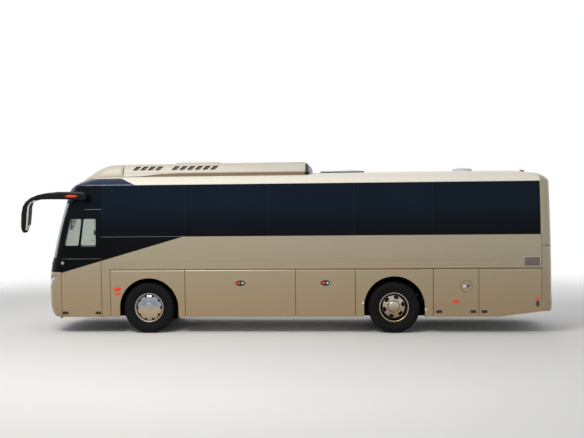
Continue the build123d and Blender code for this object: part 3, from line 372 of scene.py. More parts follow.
def roundLoop(points, radius, steps=4):
    # closed outline with each corner turned into an arc; a point may bring its own radius
    result = []
    count = len(points)
    for i, point in enumerate(points):
        here = Vector(point[:2])
        r = point[2] if len(point) > 2 else radius
        before, after = Vector(points[i - 1][:2]) - here, Vector(points[(i + 1) % count][:2]) - here
        angle = before.angle(after)
        if r <= 0 or angle > pi - 0.02:
            result.append(tuple(here))
            continue
        reach = min(r / sqrt((1 - cos(angle)) / (1 + cos(angle))), before.length * 0.49, after.length * 0.49)
        r = reach * sqrt((1 - cos(angle)) / (1 + cos(angle)))
        start, stop = here + before.normalized() * reach, here + after.normalized() * reach
        middle = here + (before.normalized() + after.normalized()).normalized() * (r / sin(angle / 2))
        for k in range(steps + 1):
            t = k / steps
            spoke = (start - middle).lerp(stop - middle, t)
            result.append(tuple(middle + spoke.normalized() * r))
    return result


def offsetLoop(loop, distance):
    # each point moved left of the loop's direction
    moved = []
    for i, point in enumerate(loop):
        here = Vector(point)
        a, b = here - Vector(loop[i - 1]), Vector(loop[(i + 1) % len(loop)]) - here
        if a.length < 1e-9 or b.length < 1e-9:
            moved.append(point)
            continue
        a.normalize()
        b.normalize()
        left = Vector((-a.y, a.x)) + Vector((-b.y, b.x))
        share = 1 + a.dot(b)
        moved.append(tuple(here + left * (distance / max(share, 0.3))))
    return moved


def cutAt(bm, point, normal, near=1e-6, parts=None):
    # new edges where a plane crosses the mesh, or only the parts given
    parts = parts or bm.verts[:] + bm.edges[:] + bm.faces[:]
    bmesh.ops.bisect_plane(bm, geom=parts, dist=near, plane_co=point, plane_no=normal)


def panel(name, outline, holes, place, materials, thick=body["wall"], edge=0.004, cuts=((), ()), lines=(),
          pick=None, inner=False, **piece):
    # closed panel shell: outline and holes in the map's own (u, v), rounded outer edges, cut into strips that follow
    # the surface; lines are paint lines given by two points, and pick chooses each front face's material
    bm = bmesh.new()
    loops = [outline if area2(outline) > 0 else outline[::-1]]
    loops += [hole[::-1] if area2(hole) > 0 else hole for hole in holes]
    profile = [(0, thick), (0, edge), (0.29 * edge, 0.29 * edge), (edge, 0)]
    caps = [[], []]
    for loop in loops:
        rings = []
        for away, depth in profile:
            rings.append([bm.verts.new((u, v, -depth)) for u, v in offsetLoop(loop, away)])
        count = len(loop)
        for low, high in zip(rings, rings[1:]):
            for i in range(count):
                bm.faces.new((low[i], low[(i + 1) % count], high[(i + 1) % count], high[i]))
        for cap, ring in zip(caps, (rings[0], rings[-1])):
            cap += [bm.edges.get((ring[i], ring[(i + 1) % count])) for i in range(count)]
    for cap in caps:
        bmesh.ops.triangle_fill(bm, use_beauty=True, edges=cap, normal=(0, 0, 1))
    for axis, values in enumerate(cuts):
        for value in values:
            normal = Vector((0, 0, 0))
            normal[axis] = 1
            cutAt(bm, normal * value, normal, 1e-5)
    for (u0, v0), (u1, v1) in lines:
        cutAt(bm, (u0, v0, 0), (v0 - v1, u1 - u0, 0), 1e-5)
    last = len(materials) - 1 if inner else 0
    for face in bm.faces:
        middle = face.calc_center_median()
        if -middle.z > thick * 0.98 and inner:
            face.material_index = last
        elif pick:
            face.material_index = pick(middle.x, middle.y)
    bmesh.ops.recalc_face_normals(bm, faces=bm.faces[:])
    normals = []
    for vert in bm.verts:
        depth = -vert.co.z
        vert.co, normal = place(vert.co.x, vert.co.y, depth)
        normals.append(tuple(normal) if depth < 1e-6 else (0, 0, 0))
    if bm.calc_volume(signed=True) < 0:
        bmesh.ops.reverse_faces(bm, faces=bm.faces[:])
    return addPiece(name, bm, materials, sharp=50, normals=normals, **piece)


def spread(low, high, step):
    # even values strictly between two ends
    count = max(1, ceil((high - low) / step))
    return [low + (high - low) * i / count for i in range(1, count)]


def loft(bm, sections, closed=True, capped=True, index=0):
    # skin over rows of points with the same count
    rows = [[bm.verts.new(p) for p in section] for section in sections]
    count = len(rows[0])
    faces = []
    for low, high in zip(rows, rows[1:]):
        for i in range(count if closed else count - 1):
            j = (i + 1) % count
            faces.append(bm.faces.new((low[i], low[j], high[j], high[i])))
    if capped:
        faces.append(bm.faces.new(rows[0][::-1]))
        faces.append(bm.faces.new(rows[-1]))
    for face in faces:
        face.material_index = index
    return rows


def revolve(bm, profile, middle, axis=(0, 1, 0), steps=48, index=0, closed=False):
    # profile of (radius, distance along the axis) turned about the axis
    axis = Vector(axis).normalized()
    across = axis.orthogonal().normalized()
    other = axis.cross(across)
    middle = Vector(middle)
    turns = [2 * pi * k / steps for k in range(steps)]
    rows = []
    for r, d in profile:
        if r < 1e-6:
            rows.append([bm.verts.new(middle + axis * d)])
        else:
            rows.append([bm.verts.new(middle + axis * d + (across * cos(t) + other * sin(t)) * r) for t in turns])
    for low, high in zip(rows, rows[1:] + rows[:1] if closed else rows[1:]):
        for k in range(steps):
            j = (k + 1) % steps
            ring = [low[k], low[j], high[j], high[k]] if len(low) > 1 and len(high) > 1 else (
                [low[0], high[j], high[k]] if len(low) == 1 else [low[k], low[j], high[0]])
            bm.faces.new(ring).material_index = index


def sweep(bm, path, section):
    # section(share of the way) gives (across, up) points, drawn along a path of points
    path = [Vector(p) for p in path]
    rows = []
    for i, here in enumerate(path):
        ahead = (path[min(i + 1, len(path) - 1)] - path[max(i - 1, 0)]).normalized()
        across = ahead.cross(Vector((0, 0, 1))).normalized()
        above = across.cross(ahead)
        rows.append([here + across * a + above * b for a, b in section(i / (len(path) - 1))])
    loft(bm, rows)


def oval(a, b, steps=12):
    return [(a * cos(2 * pi * k / steps), b * sin(2 * pi * k / steps)) for k in range(steps)]


def ovalAt(u, v, a, b, steps=20):
    return [(u + x, v + z) for x, z in oval(a, b, steps)]


def boxLoop(u0, v0, u1, v1, radius=0.01, steps=4):
    # rectangle between two corners, its own corners rounded
    return roundLoop([(u0, v0), (u1, v0), (u1, v1), (u0, v1)], radius, steps)


def boxAt(bm, low, high, bevel=0.0, segments=2):
    # block between two corners with bevelled edges
    made = bmesh.ops.create_cube(bm, size=1)["verts"]
    low, high = Vector(low), Vector(high)
    for vert in made:
        vert.co = Vector((low[k] + (vert.co[k] + 0.5) * (high[k] - low[k]) for k in range(3)))
    if bevel:
        edges = list({edge for vert in made for edge in vert.link_edges})
        bmesh.ops.bevel(bm, geom=edges, offset=bevel, segments=segments, affect="EDGES", profile=0.5)


def tidyMesh(bm):
    # joins points that coincide and turns all faces outwards
    bmesh.ops.remove_doubles(bm, verts=bm.verts[:], dist=1e-6)
    bmesh.ops.recalc_face_normals(bm, faces=bm.faces[:])
    return bm


# Side panels, each between two seams

seams = dict(doorFront=-1.756, doorRear=-0.940, strip=-0.765, archFront=0.739, hold=2.930, holdRear=4.100,
             archRear=5.607, sideFlap=6.480, tail=7.675, band=7.652, cabRear=-0.9405, cabFoot=1.494,
             flapTop=1.256, driverTop=1.486, waistLow=1.264, waistTop=1.918, bandLow=1.922, bandTop=2.945,
             archRadius=0.588, archFrontAt=(0.012, 0.506), archRearAt=(4.856, 0.527),
             paintLine=((-1.753, 1.210), (0.736, 1.923)))
rolls = dict(flapZ=1.224, flapRun=0.032, flapDepth=0.011, waistZ=1.292, waistRun=0.028, waistDepth=0.008,
             creases=(1.327, 1.396), creaseFrom=-0.6, creaseHalf=0.03, creaseDepth=0.0022)
screen = dict(sillZ=1.424, headZ=2.662, height=1.238, sillX=-1.845, lean=0.305, fritInset=0.055, fritZ=(1.50, 2.60),
              browZ=2.6625)


def abovePaint(x, z):
    # 1 above the slanted paint line, 0 below it
    (x0, z0), (x1, z1) = seams["paintLine"]
    return int(z > z0 + (x - x0) * (z1 - z0) / (x1 - x0))


def easeFlap(x, z):
    # the flaps' tops roll in below the trim seam
    t = max(0, min(1, (z - rolls["flapZ"]) / rolls["flapRun"]))
    return rolls["flapDepth"] * t * t


def easeWaist(x, z):
    # the waist panel's foot rolls in above the seam, and two soft creases run along it
    t = max(0, min(1, (rolls["waistZ"] - z) / rolls["waistRun"])) if x > seams["strip"] else 0
    creases = rolls["creases"] if x > rolls["creaseFrom"] else ()
    crease = sum(rolls["creaseDepth"] * max(0, 1 - abs(z - at) / rolls["creaseHalf"]) for at in creases)
    return rolls["waistDepth"] * t * t + crease


def edgeX(z):
    # the windscreen's slanted side edge
    return screen["sillX"] + (z - screen["sillZ"]) * screen["lean"] / screen["height"]


flapCuts = [0.5, 0.68, 0.86, 1.04, 1.16, 1.224, 1.232, 1.240, 1.248, 1.253]


def flapPanel(name, x0, x1, side, zTop=seams["flapTop"], foot=None, holes=(), tuck=True, materials=None, lines=(),
              pick=None):
    # one side flap between two seams; foot is its lower edge where that isn't straight
    foot = foot or [(x0 + gap, body["skirtZ"]), (x1 - gap, body["skirtZ"])]
    outline = roundLoop(foot + [(x1 - gap, zTop), (x0 + gap, zTop)], 0.010, 3)
    cutsZ = [z for z in flapCuts + ([1.33, 1.41] if zTop > 1.3 else []) if z < zTop]
    cutsX = [x for x in (-1.740, -1.725, 7.64, 7.655, 7.665) if x0 < x < x1] + spread(x0, x1, 0.4)
    return panel(name, outline, holes, sideMap(side, easeFlap if tuck else None), materials or [goldPaint, frameSteel],
                 cuts=(cutsX, cutsZ), lines=lines, pick=pick, inner=True, rider=name, slot="gold_paint", nodes=(name,))


for side, word in sides:
    flapPanel("luggage_flap_front_" + word, seams["archFront"], seams["hold"], side)
    flapPanel("luggage_flap_rear_" + word, seams["hold"], seams["holdRear"], side)
    flapPanel("corner_flap_" + word, seams["sideFlap"], seams["tail"], side,
              foot=[(6.484, body["skirtZ"]), (6.87, 0.325, 0.2), (7.671, 0.430)])
    if side > 0:
        flapPanel("side_flap_right", seams["archRear"], seams["sideFlap"], side)

filler = dict(at=(6.243, 0.914), hole=0.114, disc=0.1075)
flapPanel("side_flap_left", seams["archRear"], seams["sideFlap"], -1,
          holes=[ovalAt(*filler["at"], filler["hole"], filler["hole"], 40)])
panel("fuel_flap", ovalAt(*filler["at"], filler["disc"], filler["disc"], 40), [], sideMap(-1), [goldPaint],
      thick=0.013, edge=0.003, rider="fuel_flap", slot="gold_paint", nodes=("fuel_flap",))
flapPanel("driver_flap", seams["doorFront"], seams["doorRear"], -1, zTop=seams["driverTop"], tuck=False,
          materials=[goldPaint, blackPaint, frameSteel], lines=[seams["paintLine"]], pick=abovePaint)
print("flaps made")


def archOutline(x0, x1, centre, steps=40):
    # fixed panel round a wheel opening
    low, top, radius = body["skirtZ"], seams["flapTop"], seams["archRadius"]
    cx, cz = centre
    points = [(x0, low, 0.006), (cx - radius, low, 0.02)]
    points += [(cx - radius * cos(pi * k / steps), cz + radius * sin(pi * k / steps), 0) for k in range(steps + 1)]
    points += [(cx + radius, low, 0.02), (x1, low, 0.006), (x1, top, 0.010), (x0, top, 0.010)]
    return roundLoop(points, 0.0, 3)


waistCuts = [0.5, 0.8, 1.1, 1.271, 1.278, 1.285, 1.292, 1.297, 1.312, 1.327, 1.342, 1.357, 1.366, 1.381, 1.396, 1.411,
             1.426, 1.52, 1.62, 1.72, 1.82]
for side, word in sides:
    for end, x0, x1, centre in (("front", seams["strip"] + gap, seams["archFront"] - gap, seams["archFrontAt"]),
                                ("rear", seams["holdRear"] + gap, seams["archRear"] - gap, seams["archRearAt"])):
        panel("arch_panel_%s_%s" % (end, word), archOutline(x0, x1, centre), [], sideMap(side, easeFlap),
              [goldPaint, blackPlastic], edge=0.007, cuts=([], flapCuts), inner=True, slot="gold_paint",
              nodes=("skirts",) if (end, side) == ("front", -1) else ())
    # the waist panel comes down to the skirt behind the door
    x0, x1 = seams["doorRear"] + body["hair"], seams["tail"] - gap
    foot, low, top = body["skirtZ"], seams["waistLow"], seams["waistTop"]
    outline = roundLoop([(x0 + gap, foot), (seams["strip"], foot), (seams["strip"], low, 0), (x1, low), (x1, top),
                         (x0, top, 0.003), (x0, seams["cabFoot"], 0), (x0 + gap, seams["driverTop"], 0)], 0.006, 3)
    panel("waist_panel_" + word, outline, [], sideMap(side, easeWaist), [goldPaint, blackPaint, innerTrim],
          cuts=([rolls["creaseFrom"], 7.64, 7.655], waistCuts), lines=[seams["paintLine"]], pick=abovePaint,
          inner=True, slot="gold_paint", nodes=("waist_panels",) if side < 0 else ())
print("waist and arch panels made")

# Panes of the window band
paneSeams = [seams["doorRear"], seams["archFront"], 2.400, 4.080, seams["archRear"], seams["band"]]
low, high, paneGap = seams["bandLow"], seams["bandTop"], 0.003
for side, word in sides:
    for i, (x0, x1) in enumerate(zip(paneSeams, paneSeams[1:])):
        panel("side_pane_%s_%d" % (word, i), boxLoop(x0 + paneGap, low, x1 - paneGap, high, 0.004, 2), [],
              sideMap(side), [darkGlass], thick=body["glass"], edge=0.0015, cuts=([], spread(low, high, 0.11)),
              slot="side_glass", nodes=("side_glass",) if (side, i) == (-1, 0) else ())

# Cab sides: the driver's window on the left, the entry door on the right
driverPanes = [[(-1.681, 1.755), (-1.396, 1.755), (-1.328, 2.283), (-1.559, 2.283)],
               [(-1.350, 1.755), (-1.045, 1.755), (-1.045, 2.283), (-1.290, 2.283)]]
doorOutline = [(-1.752, 0.345), (-0.944, 0.345), (-0.944, 2.450), (-1.478, 2.450), (-1.752, 1.412)]
doorWindow = [(-1.640, 0.760), (-1.040, 0.760), (-1.040, 2.330), (-1.450, 2.330), (-1.640, 1.600)]
low, high, hair = screen["sillZ"], body["gutterZ"], body["hair"]
cabCuts = (spread(-1.90, -1.30, 0.05), spread(low, high, 0.1))
outline = [(edgeX(low) + hair, low), (-1.760, low), (-1.760, seams["cabFoot"]), (seams["cabRear"], seams["cabFoot"]),
           (seams["cabRear"], high), (edgeX(high) + hair, high)]
panel("cab_side_left", roundLoop(outline, 0.002, 1), [roundLoop(p, 0.03, 5) for p in driverPanes], sideMap(-1),
      [blackPaint, innerTrim], edge=0.003, cuts=cabCuts, inner=True, slot="gloss_black", nodes=("cab_sides",))
outline = [(edgeX(low) + hair, low), (-1.7595, low), (-1.4835, 2.458), (seams["cabRear"], 2.458),
           (seams["cabRear"], high), (edgeX(high) + hair, high)]
panel("cab_side_right", roundLoop(outline, 0.002, 1), [], sideMap(1), [blackPaint, innerTrim], edge=0.003,
      cuts=cabCuts, inner=True, slot="gloss_black")
panel("entry_door", roundLoop(doorOutline, 0.02, 4), [roundLoop(doorWindow, 0.06, 6)], sideMap(1),
      [goldPaint, blackPaint, innerTrim], cuts=(cabCuts[0], spread(0.345, 2.45, 0.12)), lines=[seams["paintLine"]],
      pick=abovePaint, inner=True, rider="entry_door", slot="gold_paint", nodes=("entry_door",))
panel("entry_door_pane", roundLoop(doorWindow, 0.06, 6), [], sideMap(1), [clearGlass], thick=body["glass"],
      edge=0.001, cuts=(cabCuts[0], spread(0.76, 2.33, 0.12)), rider="entry_door", slot="side_glass",
      nodes=("entry_door_glass",))
for i, pane in enumerate(driverPanes):
    panel("driver_pane_%d" % i, roundLoop(pane, 0.03, 5), [], sideMap(-1), [clearGlass], thick=body["glass"],
          edge=0.001, cuts=(cabCuts[0], spread(1.76, 2.29, 0.1)), slot="clear_glass",
          nodes=("driver_window",) if i == 0 else ())
print("window band and cab made")

# Nose: mask, headlamps, windscreen and brow

def endOutline(end, zLow, zHigh, xLeft, step=0.06):
    # outline of a nose or tail panel whose side edges follow xLeft(z)
    heights = [zLow] + spread(zLow, zHigh, step) + [zHigh]
    right = [(sAtX(end, xLeft(z), z), z) for z in heights]
    return right + [(-s, z) for s, z in reversed(right)]


def endCuts(zLow, zHigh, stepZ):
    # cuts across an end panel, close together on the round corners, and up it
    turns = [0.9, 0.98, 1.04, 1.10, 1.16, 1.22, 1.28, 1.34, 1.40]
    across = [0.0] + [s * sign for s in [0.2, 0.4, 0.6, 0.75] + turns for sign in (-1, 1)]
    return across, spread(zLow, zHigh, stepZ)


# a front corner is (y, z), a rear corner (x, z)
headlamp = dict(front=[(0.640, 0.900), (0.640, 1.040), (0.760, 1.120), (1.000, 1.124)],
                rear=[(-1.868, 1.130), (-1.868 - 0.108, 0.960)], foot=(0.980, 0.900), z=(0.9, 1.13), depth=0.04,
                clear=0.003)
mask = dict(rearX=-1.7605, top=1.4235, paintZ=1.225)
grille = dict(half=0.42, feet=(0.47, 0.53, 0.59), height=0.034, depth=0.018)


def lampLoop(sign, grow=0.0):
    # the headlamp's outline on the nose
    points = [(sAtY("nose", y, z), z) for y, z in headlamp["front"]]
    points += [(sAtX("nose", x, z), z) for x, z in headlamp["rear"]]
    points.append((sAtY("nose", *headlamp["foot"]), headlamp["foot"][1]))
    loop = roundLoop([(sign * s, z) for s, z in points], 0.03, 4)
    return offsetLoop(loop if area2(loop) > 0 else loop[::-1], -grow)


def behind(end, depth):
    # the nose or tail surface moved inwards
    way = 1 if end == "nose" else -1
    return surfaceMap(lambda s, z: endPoint(end, s, z) + Vector((way * depth, 0, 0)),
                      lambda p: Vector((-way, p.y * 0.8, 0)))


maskHoles = [lampLoop(sign, headlamp["clear"]) for sign in (-1, 1)]
maskHoles += [boxLoop(-grille["half"], z, grille["half"], z + grille["height"], 0.012, 3) for z in grille["feet"]]
panel("front_mask", endOutline("nose", body["skirtZ"], mask["top"], lambda z: mask["rearX"]), maskHoles,
      endMap("nose"), [goldPaint, blackPaint, blackPlastic], cuts=endCuts(body["skirtZ"], mask["top"], 0.045),
      inner=True, lines=[((-1.0, mask["paintZ"]), (1.0, mask["paintZ"]))],
      pick=lambda s, z: int(z > mask["paintZ"]), slot="gold_paint", nodes=("front_mask",))
for sign, word in sides:
    panel("headlamp_lens_" + word, lampLoop(sign), [], endMap("nose"), [lampGlass], thick=0.004, edge=0.001,
          cuts=endCuts(*headlamp["z"], 0.05), slot="headlamp", nodes=("headlamps",) if sign < 0 else ())
    panel("headlamp_bowl_" + word, lampLoop(sign), [], behind("nose", headlamp["depth"]), [lampSilver],
          thick=0.004, edge=0.001, cuts=endCuts(*headlamp["z"], 0.05), slot="headlamp")
panel("grille_backing", boxLoop(-0.46, 0.45, 0.46, 0.645, 0.01, 3), [], behind("nose", grille["depth"]),
      [blackPlastic], thick=0.004, edge=0.001, cuts=endCuts(0.45, 0.645, 0.05), slot="black_plastic")

fritEnds = [(sAtX("nose", edgeX(z), z) - screen["fritInset"], z) for z in (screen["sillZ"], screen["headZ"])]


def fritPick(s, z):
    # 1 in the windscreen's dark border, 0 inside it
    share = (z - screen["sillZ"]) / screen["height"]
    low, high = fritEnds[0][0], fritEnds[1][0]
    return int(abs(s) > low + (high - low) * share or z < screen["fritZ"][0] or z > screen["fritZ"][1])


fritLines = [[(sign * s, z) for s, z in fritEnds] for sign in (-1, 1)] + [[(-1, z), (1, z)] for z in screen["fritZ"]]
panel("windscreen", endOutline("nose", screen["sillZ"], screen["headZ"], edgeX), [], endMap("nose"),
      [clearGlass, blackPaint], thick=body["glass"], edge=0.002, cuts=endCuts(screen["sillZ"], screen["headZ"], 0.08),
      lines=fritLines, pick=fritPick, slot="clear_glass", nodes=("windscreen",))
panel("brow", endOutline("nose", screen["browZ"], body["gutterZ"], edgeX), [], endMap("nose"), [blackWithPaintedSky, innerTrim],
      cuts=endCuts(screen["browZ"], body["gutterZ"], 0.05), inner=True, slot="gloss_black")
print("nose made")

# Tail: frame with its openings, window, engine lid and lamps

# an edge is (x, low z, high z), a lamp (y, low z, high z, half width)
tail = dict(edges=[(7.679, 0.4315, 1.918), (7.656, 1.919, 2.949)], window=(0.900, 1.960, 2.790),
            lid=(0.880, 0.640, 1.640), lidHole=(0.888, 0.632, 1.648), slots=6, slotZ=1.180, slotPitch=0.060,
            slotHalf=0.62, slotHeight=0.03, lamps=[(1.050, 0.760, 1.240, 0.062), (1.050, 1.290, 1.420, 0.062)],
            creaseZ=1.70, creaseHalf=0.006, creaseDepth=0.006)
tailOutline = []
for x, low, high in tail["edges"]:
    tailOutline += [(sAtX("tail", x, z), z) for z in [low] + spread(low, high, 0.1) + [high]]
tailOutline += [(-s, z) for s, z in reversed(tailOutline)]
half, low, high = tail["window"]
rearPane = boxLoop(-half, low, half, high, 0.06, 5)


def tailLampLoop(sign, y, z0, z1, w, shrink=0.0):
    # outline of a lamp on the right or left, and of its hole
    s0, s1 = (sAtY("tail", y + d * (w - shrink), (z0 + z1) / 2) for d in (-1, 1))
    return boxLoop(sign * s0, z0 + shrink, sign * s1, z1 - shrink, 0.02)


def easeTail(s, z):
    # one soft groove across the tail
    return tail["creaseDepth"] * max(0, 1 - abs(z - tail["creaseZ"]) / tail["creaseHalf"])


holeHalf, holeLow, holeHigh = tail["lidHole"]
tailHoles = [rearPane, boxLoop(-holeHalf, holeLow, holeHalf, holeHigh, 0.02)]
tailHoles += [tailLampLoop(sign, *lamp) for lamp in tail["lamps"] for sign in (-1, 1)]
across, upwards = endCuts(0.43, 2.949, 0.12)
panel("rear_frame", tailOutline, tailHoles, endMap("tail", easeTail), [goldPaint, innerTrim],
      cuts=(across, upwards + [1.694, 1.70, 1.706]), inner=True, slot="gold_paint", nodes=("rear_frame",))
panel("rear_window", rearPane, [], endMap("tail"), [darkGlass], thick=body["glass"], edge=0.001,
      cuts=endCuts(low, high, 0.1), slot="side_glass", nodes=("rear_window",))
lidSlots = []
for i in range(tail["slots"]):
    z = tail["slotZ"] + tail["slotPitch"] * i
    lidSlots.append(boxLoop(-tail["slotHalf"], z, tail["slotHalf"], z + tail["slotHeight"], 0.01, 3))
half, low, high = tail["lid"]
panel("engine_lid", boxLoop(-half, low, half, high, 0.015), lidSlots, endMap("tail"), [goldPaint, frameSteel],
      cuts=endCuts(low, high, 0.12), inner=True, rider="engine_lid", slot="gold_paint", nodes=("engine_lid",))
panel("lid_backing", boxLoop(-0.66, 1.15, 0.66, 1.54, 0.01, 3), [], behind("tail", grille["depth"]), [blackPlastic],
      thick=0.004, edge=0.001, cuts=endCuts(1.15, 1.54, 0.1), rider="engine_lid", slot="black_plastic")
for i, lamp in enumerate(tail["lamps"]):
    for sign, word in sides:
        panel("tail_lamp_%s_%d" % (word, i), tailLampLoop(sign, *lamp, 0.0015), [], endMap("tail"),
              [redLens if i == 0 else orangeLens], thick=0.04, edge=0.006, cuts=endCuts(*lamp[1:3], 0.05),
              slot="red_lamp", nodes=("lamps",) if (i, sign) == (0, -1) else ())
print("tail made")

# Roof: coves and a crowned top

crownRadius = (body["edgeHalf"] ** 2 + body["crownRise"] ** 2) / (2 * body["crownRise"])


def crown(y):
    return body["crownZ"] - crownRadius + sqrt(crownRadius ** 2 - y * y)


def roofTop(x, y):
    # height of the roof inside its upper edge, rounded down to the nose and tail
    y = max(-body["edgeHalf"], min(body["edgeHalf"], y))
    fromNose, fromTail = x - roofEndX("nose", y), roofEndX("tail", y) - x
    t = min(1, max(0, fromNose / body["noseRun"]), max(0, fromTail / body["tailRun"]))
    return body["edgeZ"] + (crown(y) - body["edgeZ"]) * (1 - (1 - t) ** 2)


def roofEndX(end, y):
    return endPoint(end, sAtY(end, y, body["edgeZ"] - 1e-6), body["edgeZ"] - 1e-6).x


def roofZ(x, y):
    # height of the roof's outer surface anywhere
    y = abs(y)
    if y < body["edgeHalf"] and roofEndX("nose", y) <= x <= roofEndX("tail", y):
        return roofTop(x, y)
    low, high = body["gutterZ"], body["edgeZ"]
    for _ in range(24):
        z = (low + high) / 2
        p = endPoint("nose", sAtY("nose", y, z), z) if y < sideHalf(z) else None
        q = endPoint("tail", sAtY("tail", y, z), z) if p else None
        if p and p.x <= x <= q.x:
            low = z
        else:
            high = z
    return low


roofFractions = [-1, -0.985, -0.965, -0.94, -0.91, -0.88, -0.84, -0.8, -0.7, -0.55, -0.35, -0.15, 0.0]
roofFractions += [-f for f in reversed(roofFractions[:-1])]
roofLines = [-1.0, -0.9, -0.8, -0.7, -0.57, -0.4, -0.257, 0.0, 0.5, 1.0, 2.0, 3.0, 4.0, 5.0, 6.0, 6.6, 7.0, 7.2,
             7.35, 7.5]
roofShares = [(x + 1.2) / 8.9 for x in roofLines]
coveZ = [body["gutterZ"], 2.965, 2.982, 3.0, 3.018, 3.034, 3.050, 3.066, 3.080, 3.094, body["edgeZ"] - 1e-6]
opening = dict(x=(3.55, 4.16), half=0.27)
browAt, browDrop, goldFrom = (-0.57, 3.09), (-0.257, body["gutterZ"]), 7.665


def roofRing(z):
    # points round the body at one height
    x0, x1, y = endArcs("nose", z)[5], endArcs("tail", z)[5], sideHalf(z)
    noseEdge, tailEdge = sAtX("nose", x0, z), sAtX("tail", x1, z)
    ring = [endPoint("nose", f * noseEdge, z) for f in roofFractions]
    ring += [Vector((x0 + (x1 - x0) * t, y, z)) for t in roofShares]
    ring += [endPoint("tail", -f * tailEdge, z) for f in roofFractions]
    ring += [Vector((x0 + (x1 - x0) * t, -y, z)) for t in reversed(roofShares)]
    return ring


bm = bmesh.new()
topRing = loft(bm, [roofRing(z) for z in coveZ], closed=True, capped=False)[-1]
nf, nl = len(roofFractions), len(roofLines)
noseRow = topRing[:nf]
tailRow = topRing[nf + nl:2 * nf + nl][::-1]
rightSide = topRing[nf:nf + nl]
leftSide = topRing[2 * nf + nl:][::-1]
rows = []
for j in range(nf):
    a, b = noseRow[j].co, tailRow[j].co
    if j == 0:
        rows.append([noseRow[0]] + leftSide + [tailRow[0]])
    elif j == nf - 1:
        rows.append([noseRow[-1]] + rightSide + [tailRow[-1]])
    else:
        row = [noseRow[j]]
        for k in range(nl):
            x, y = a.x + (b.x - a.x) * roofShares[k], a.y + (b.y - a.y) * roofShares[k]
            row.append(bm.verts.new((x, y, roofTop(x, y))))
        rows.append(row + [tailRow[j]])
for low, high in zip(rows, rows[1:]):
    for k in range(nl + 1):
        bm.faces.new((low[k], low[k + 1], high[k + 1], high[k]))
cutAt(bm, (goldFrom, 0, 0), (1, 0, 0))
for x in spread(-1.15, -0.55, 0.1) + spread(7.2, 7.72, 0.06) + list(opening["x"]):  # only through the crown
    cap = [f for f in bm.faces if f.calc_center_median().z > 3.1]
    cutAt(bm, (x, 0, 0), (1, 0, 0), parts=list({v for f in cap for v in f.verts})
          + list({e for f in cap for e in f.edges}) + cap)
for vert in bm.verts:
    if vert.co.z > body["edgeZ"] + 1e-4:
        vert.co.z = roofTop(vert.co.x, vert.co.y)
for sign in (-1, 1):
    cutAt(bm, (0, sign * opening["half"], 0), (0, 1, 0))
underHatch = []
for face in bm.faces:
    c = face.calc_center_median()
    if opening["x"][0] < c.x < opening["x"][1] and abs(c.y) < opening["half"]:
        underHatch.append(face)
bmesh.ops.delete(bm, geom=underHatch, context="FACES")
# the brow's black, tinted blue as a painted sky reflection, ends on a slanted line; the roof above is painted sunlit
# cream, and the tail's gold reaches up into the cove where that painted light ends
browPoint = Vector((browAt[0], 0, browAt[1]))
browNormal = Vector((browAt[1] - browDrop[1], 0, browDrop[0] - browAt[0]))
cutAt(bm, browPoint, browNormal)
cutAt(bm, (0, 0, browAt[1]), (0, 0, 1))
for face in bm.faces:
    c = face.calc_center_median()
    ahead = (c - browPoint).dot(browNormal) < 0
    face.material_index = 0 if c.z >= browAt[1] else 1 if ahead else 3 if c.x > goldFrom else 0
tidyMesh(bm)
if sum(f.normal.z for f in bm.faces) < 0:
    bmesh.ops.reverse_faces(bm, faces=bm.faces[:])
roofPiece = addPiece("roof", bm, [paintedSunlitCream, blackWithPaintedSky, innerTrim, goldPaint], slot="cream_paint", nodes=("roof",),
                     sharp=60)
thicken = roofPiece.modifiers.new("shell", "SOLIDIFY")
thicken.thickness, thicken.offset = 0.04, -1
thicken.use_even_offset = True
print("roof made")

# Air conditioner: one long section with leaning vents through both sides, a brown strip of painted shade along its
# foot, and a dark rear end

# a group of vents is (first x, pitch, count), a cover (front x, rear x, top z, half width)
ac = dict(rear=3.125, end=3.195, base=0.950, knee=0.850, kneeZ=3.345, top=0.790, topZ=3.368, sunkZ=3.120,
          footZ=3.186, shadeStripY=0.930, shadeStripZ=3.195, ventZ=(3.250, 3.332), ventWidth=0.106, lean=0.080,
          groups=[(-0.376, 0.152, 4), (0.418, 0.157, 6)],
          covers=[(-0.530, 0.448, 3.378, 0.760), (0.462, 1.376, 3.412, 0.740), (1.394, 3.112, 3.388, 0.760)])


def acSection(footZ):
    # right half of the section from foot to middle, as (y, z)
    return [(ac["base"], footZ), (ac["base"] - 0.002, footZ + 0.012), (ac["knee"] + 0.006, ac["kneeZ"] - 0.015),
            (ac["knee"] - 0.012, ac["kneeZ"] + 0.008), (ac["top"], ac["topZ"] - 0.004),
            (ac["top"] - 0.04, ac["topZ"]), (0, ac["topZ"])]


acPath = acSection(ac["sunkZ"])
acLengths = [0]
for a, b in zip(acPath, acPath[1:]):
    acLengths.append(acLengths[-1] + hypot(b[0] - a[0], b[1] - a[1]))
acHalfLength = acLengths[-1]


def acPoint(x, v):
    # v runs from the right foot over the top to the left foot
    side, d = (1, v) if v <= acHalfLength else (-1, 2 * acHalfLength - v)
    i = max(0, min(len(acLengths) - 2, bisect_right(acLengths, d) - 1))
    t = (d - acLengths[i]) / (acLengths[i + 1] - acLengths[i])
    (y0, z0), (y1, z1) = acPath[i], acPath[i + 1]
    return Vector((x, side * (y0 + (y1 - y0) * t), z0 + (z1 - z0) * t))


def acV(z):
    # distance up the leaning side at height z
    for i, (a, b) in enumerate(zip(acPath, acPath[1:])):
        if a[1] <= z <= b[1]:
            return acLengths[i] + (z - a[1]) / (b[1] - a[1]) * (acLengths[i + 1] - acLengths[i])


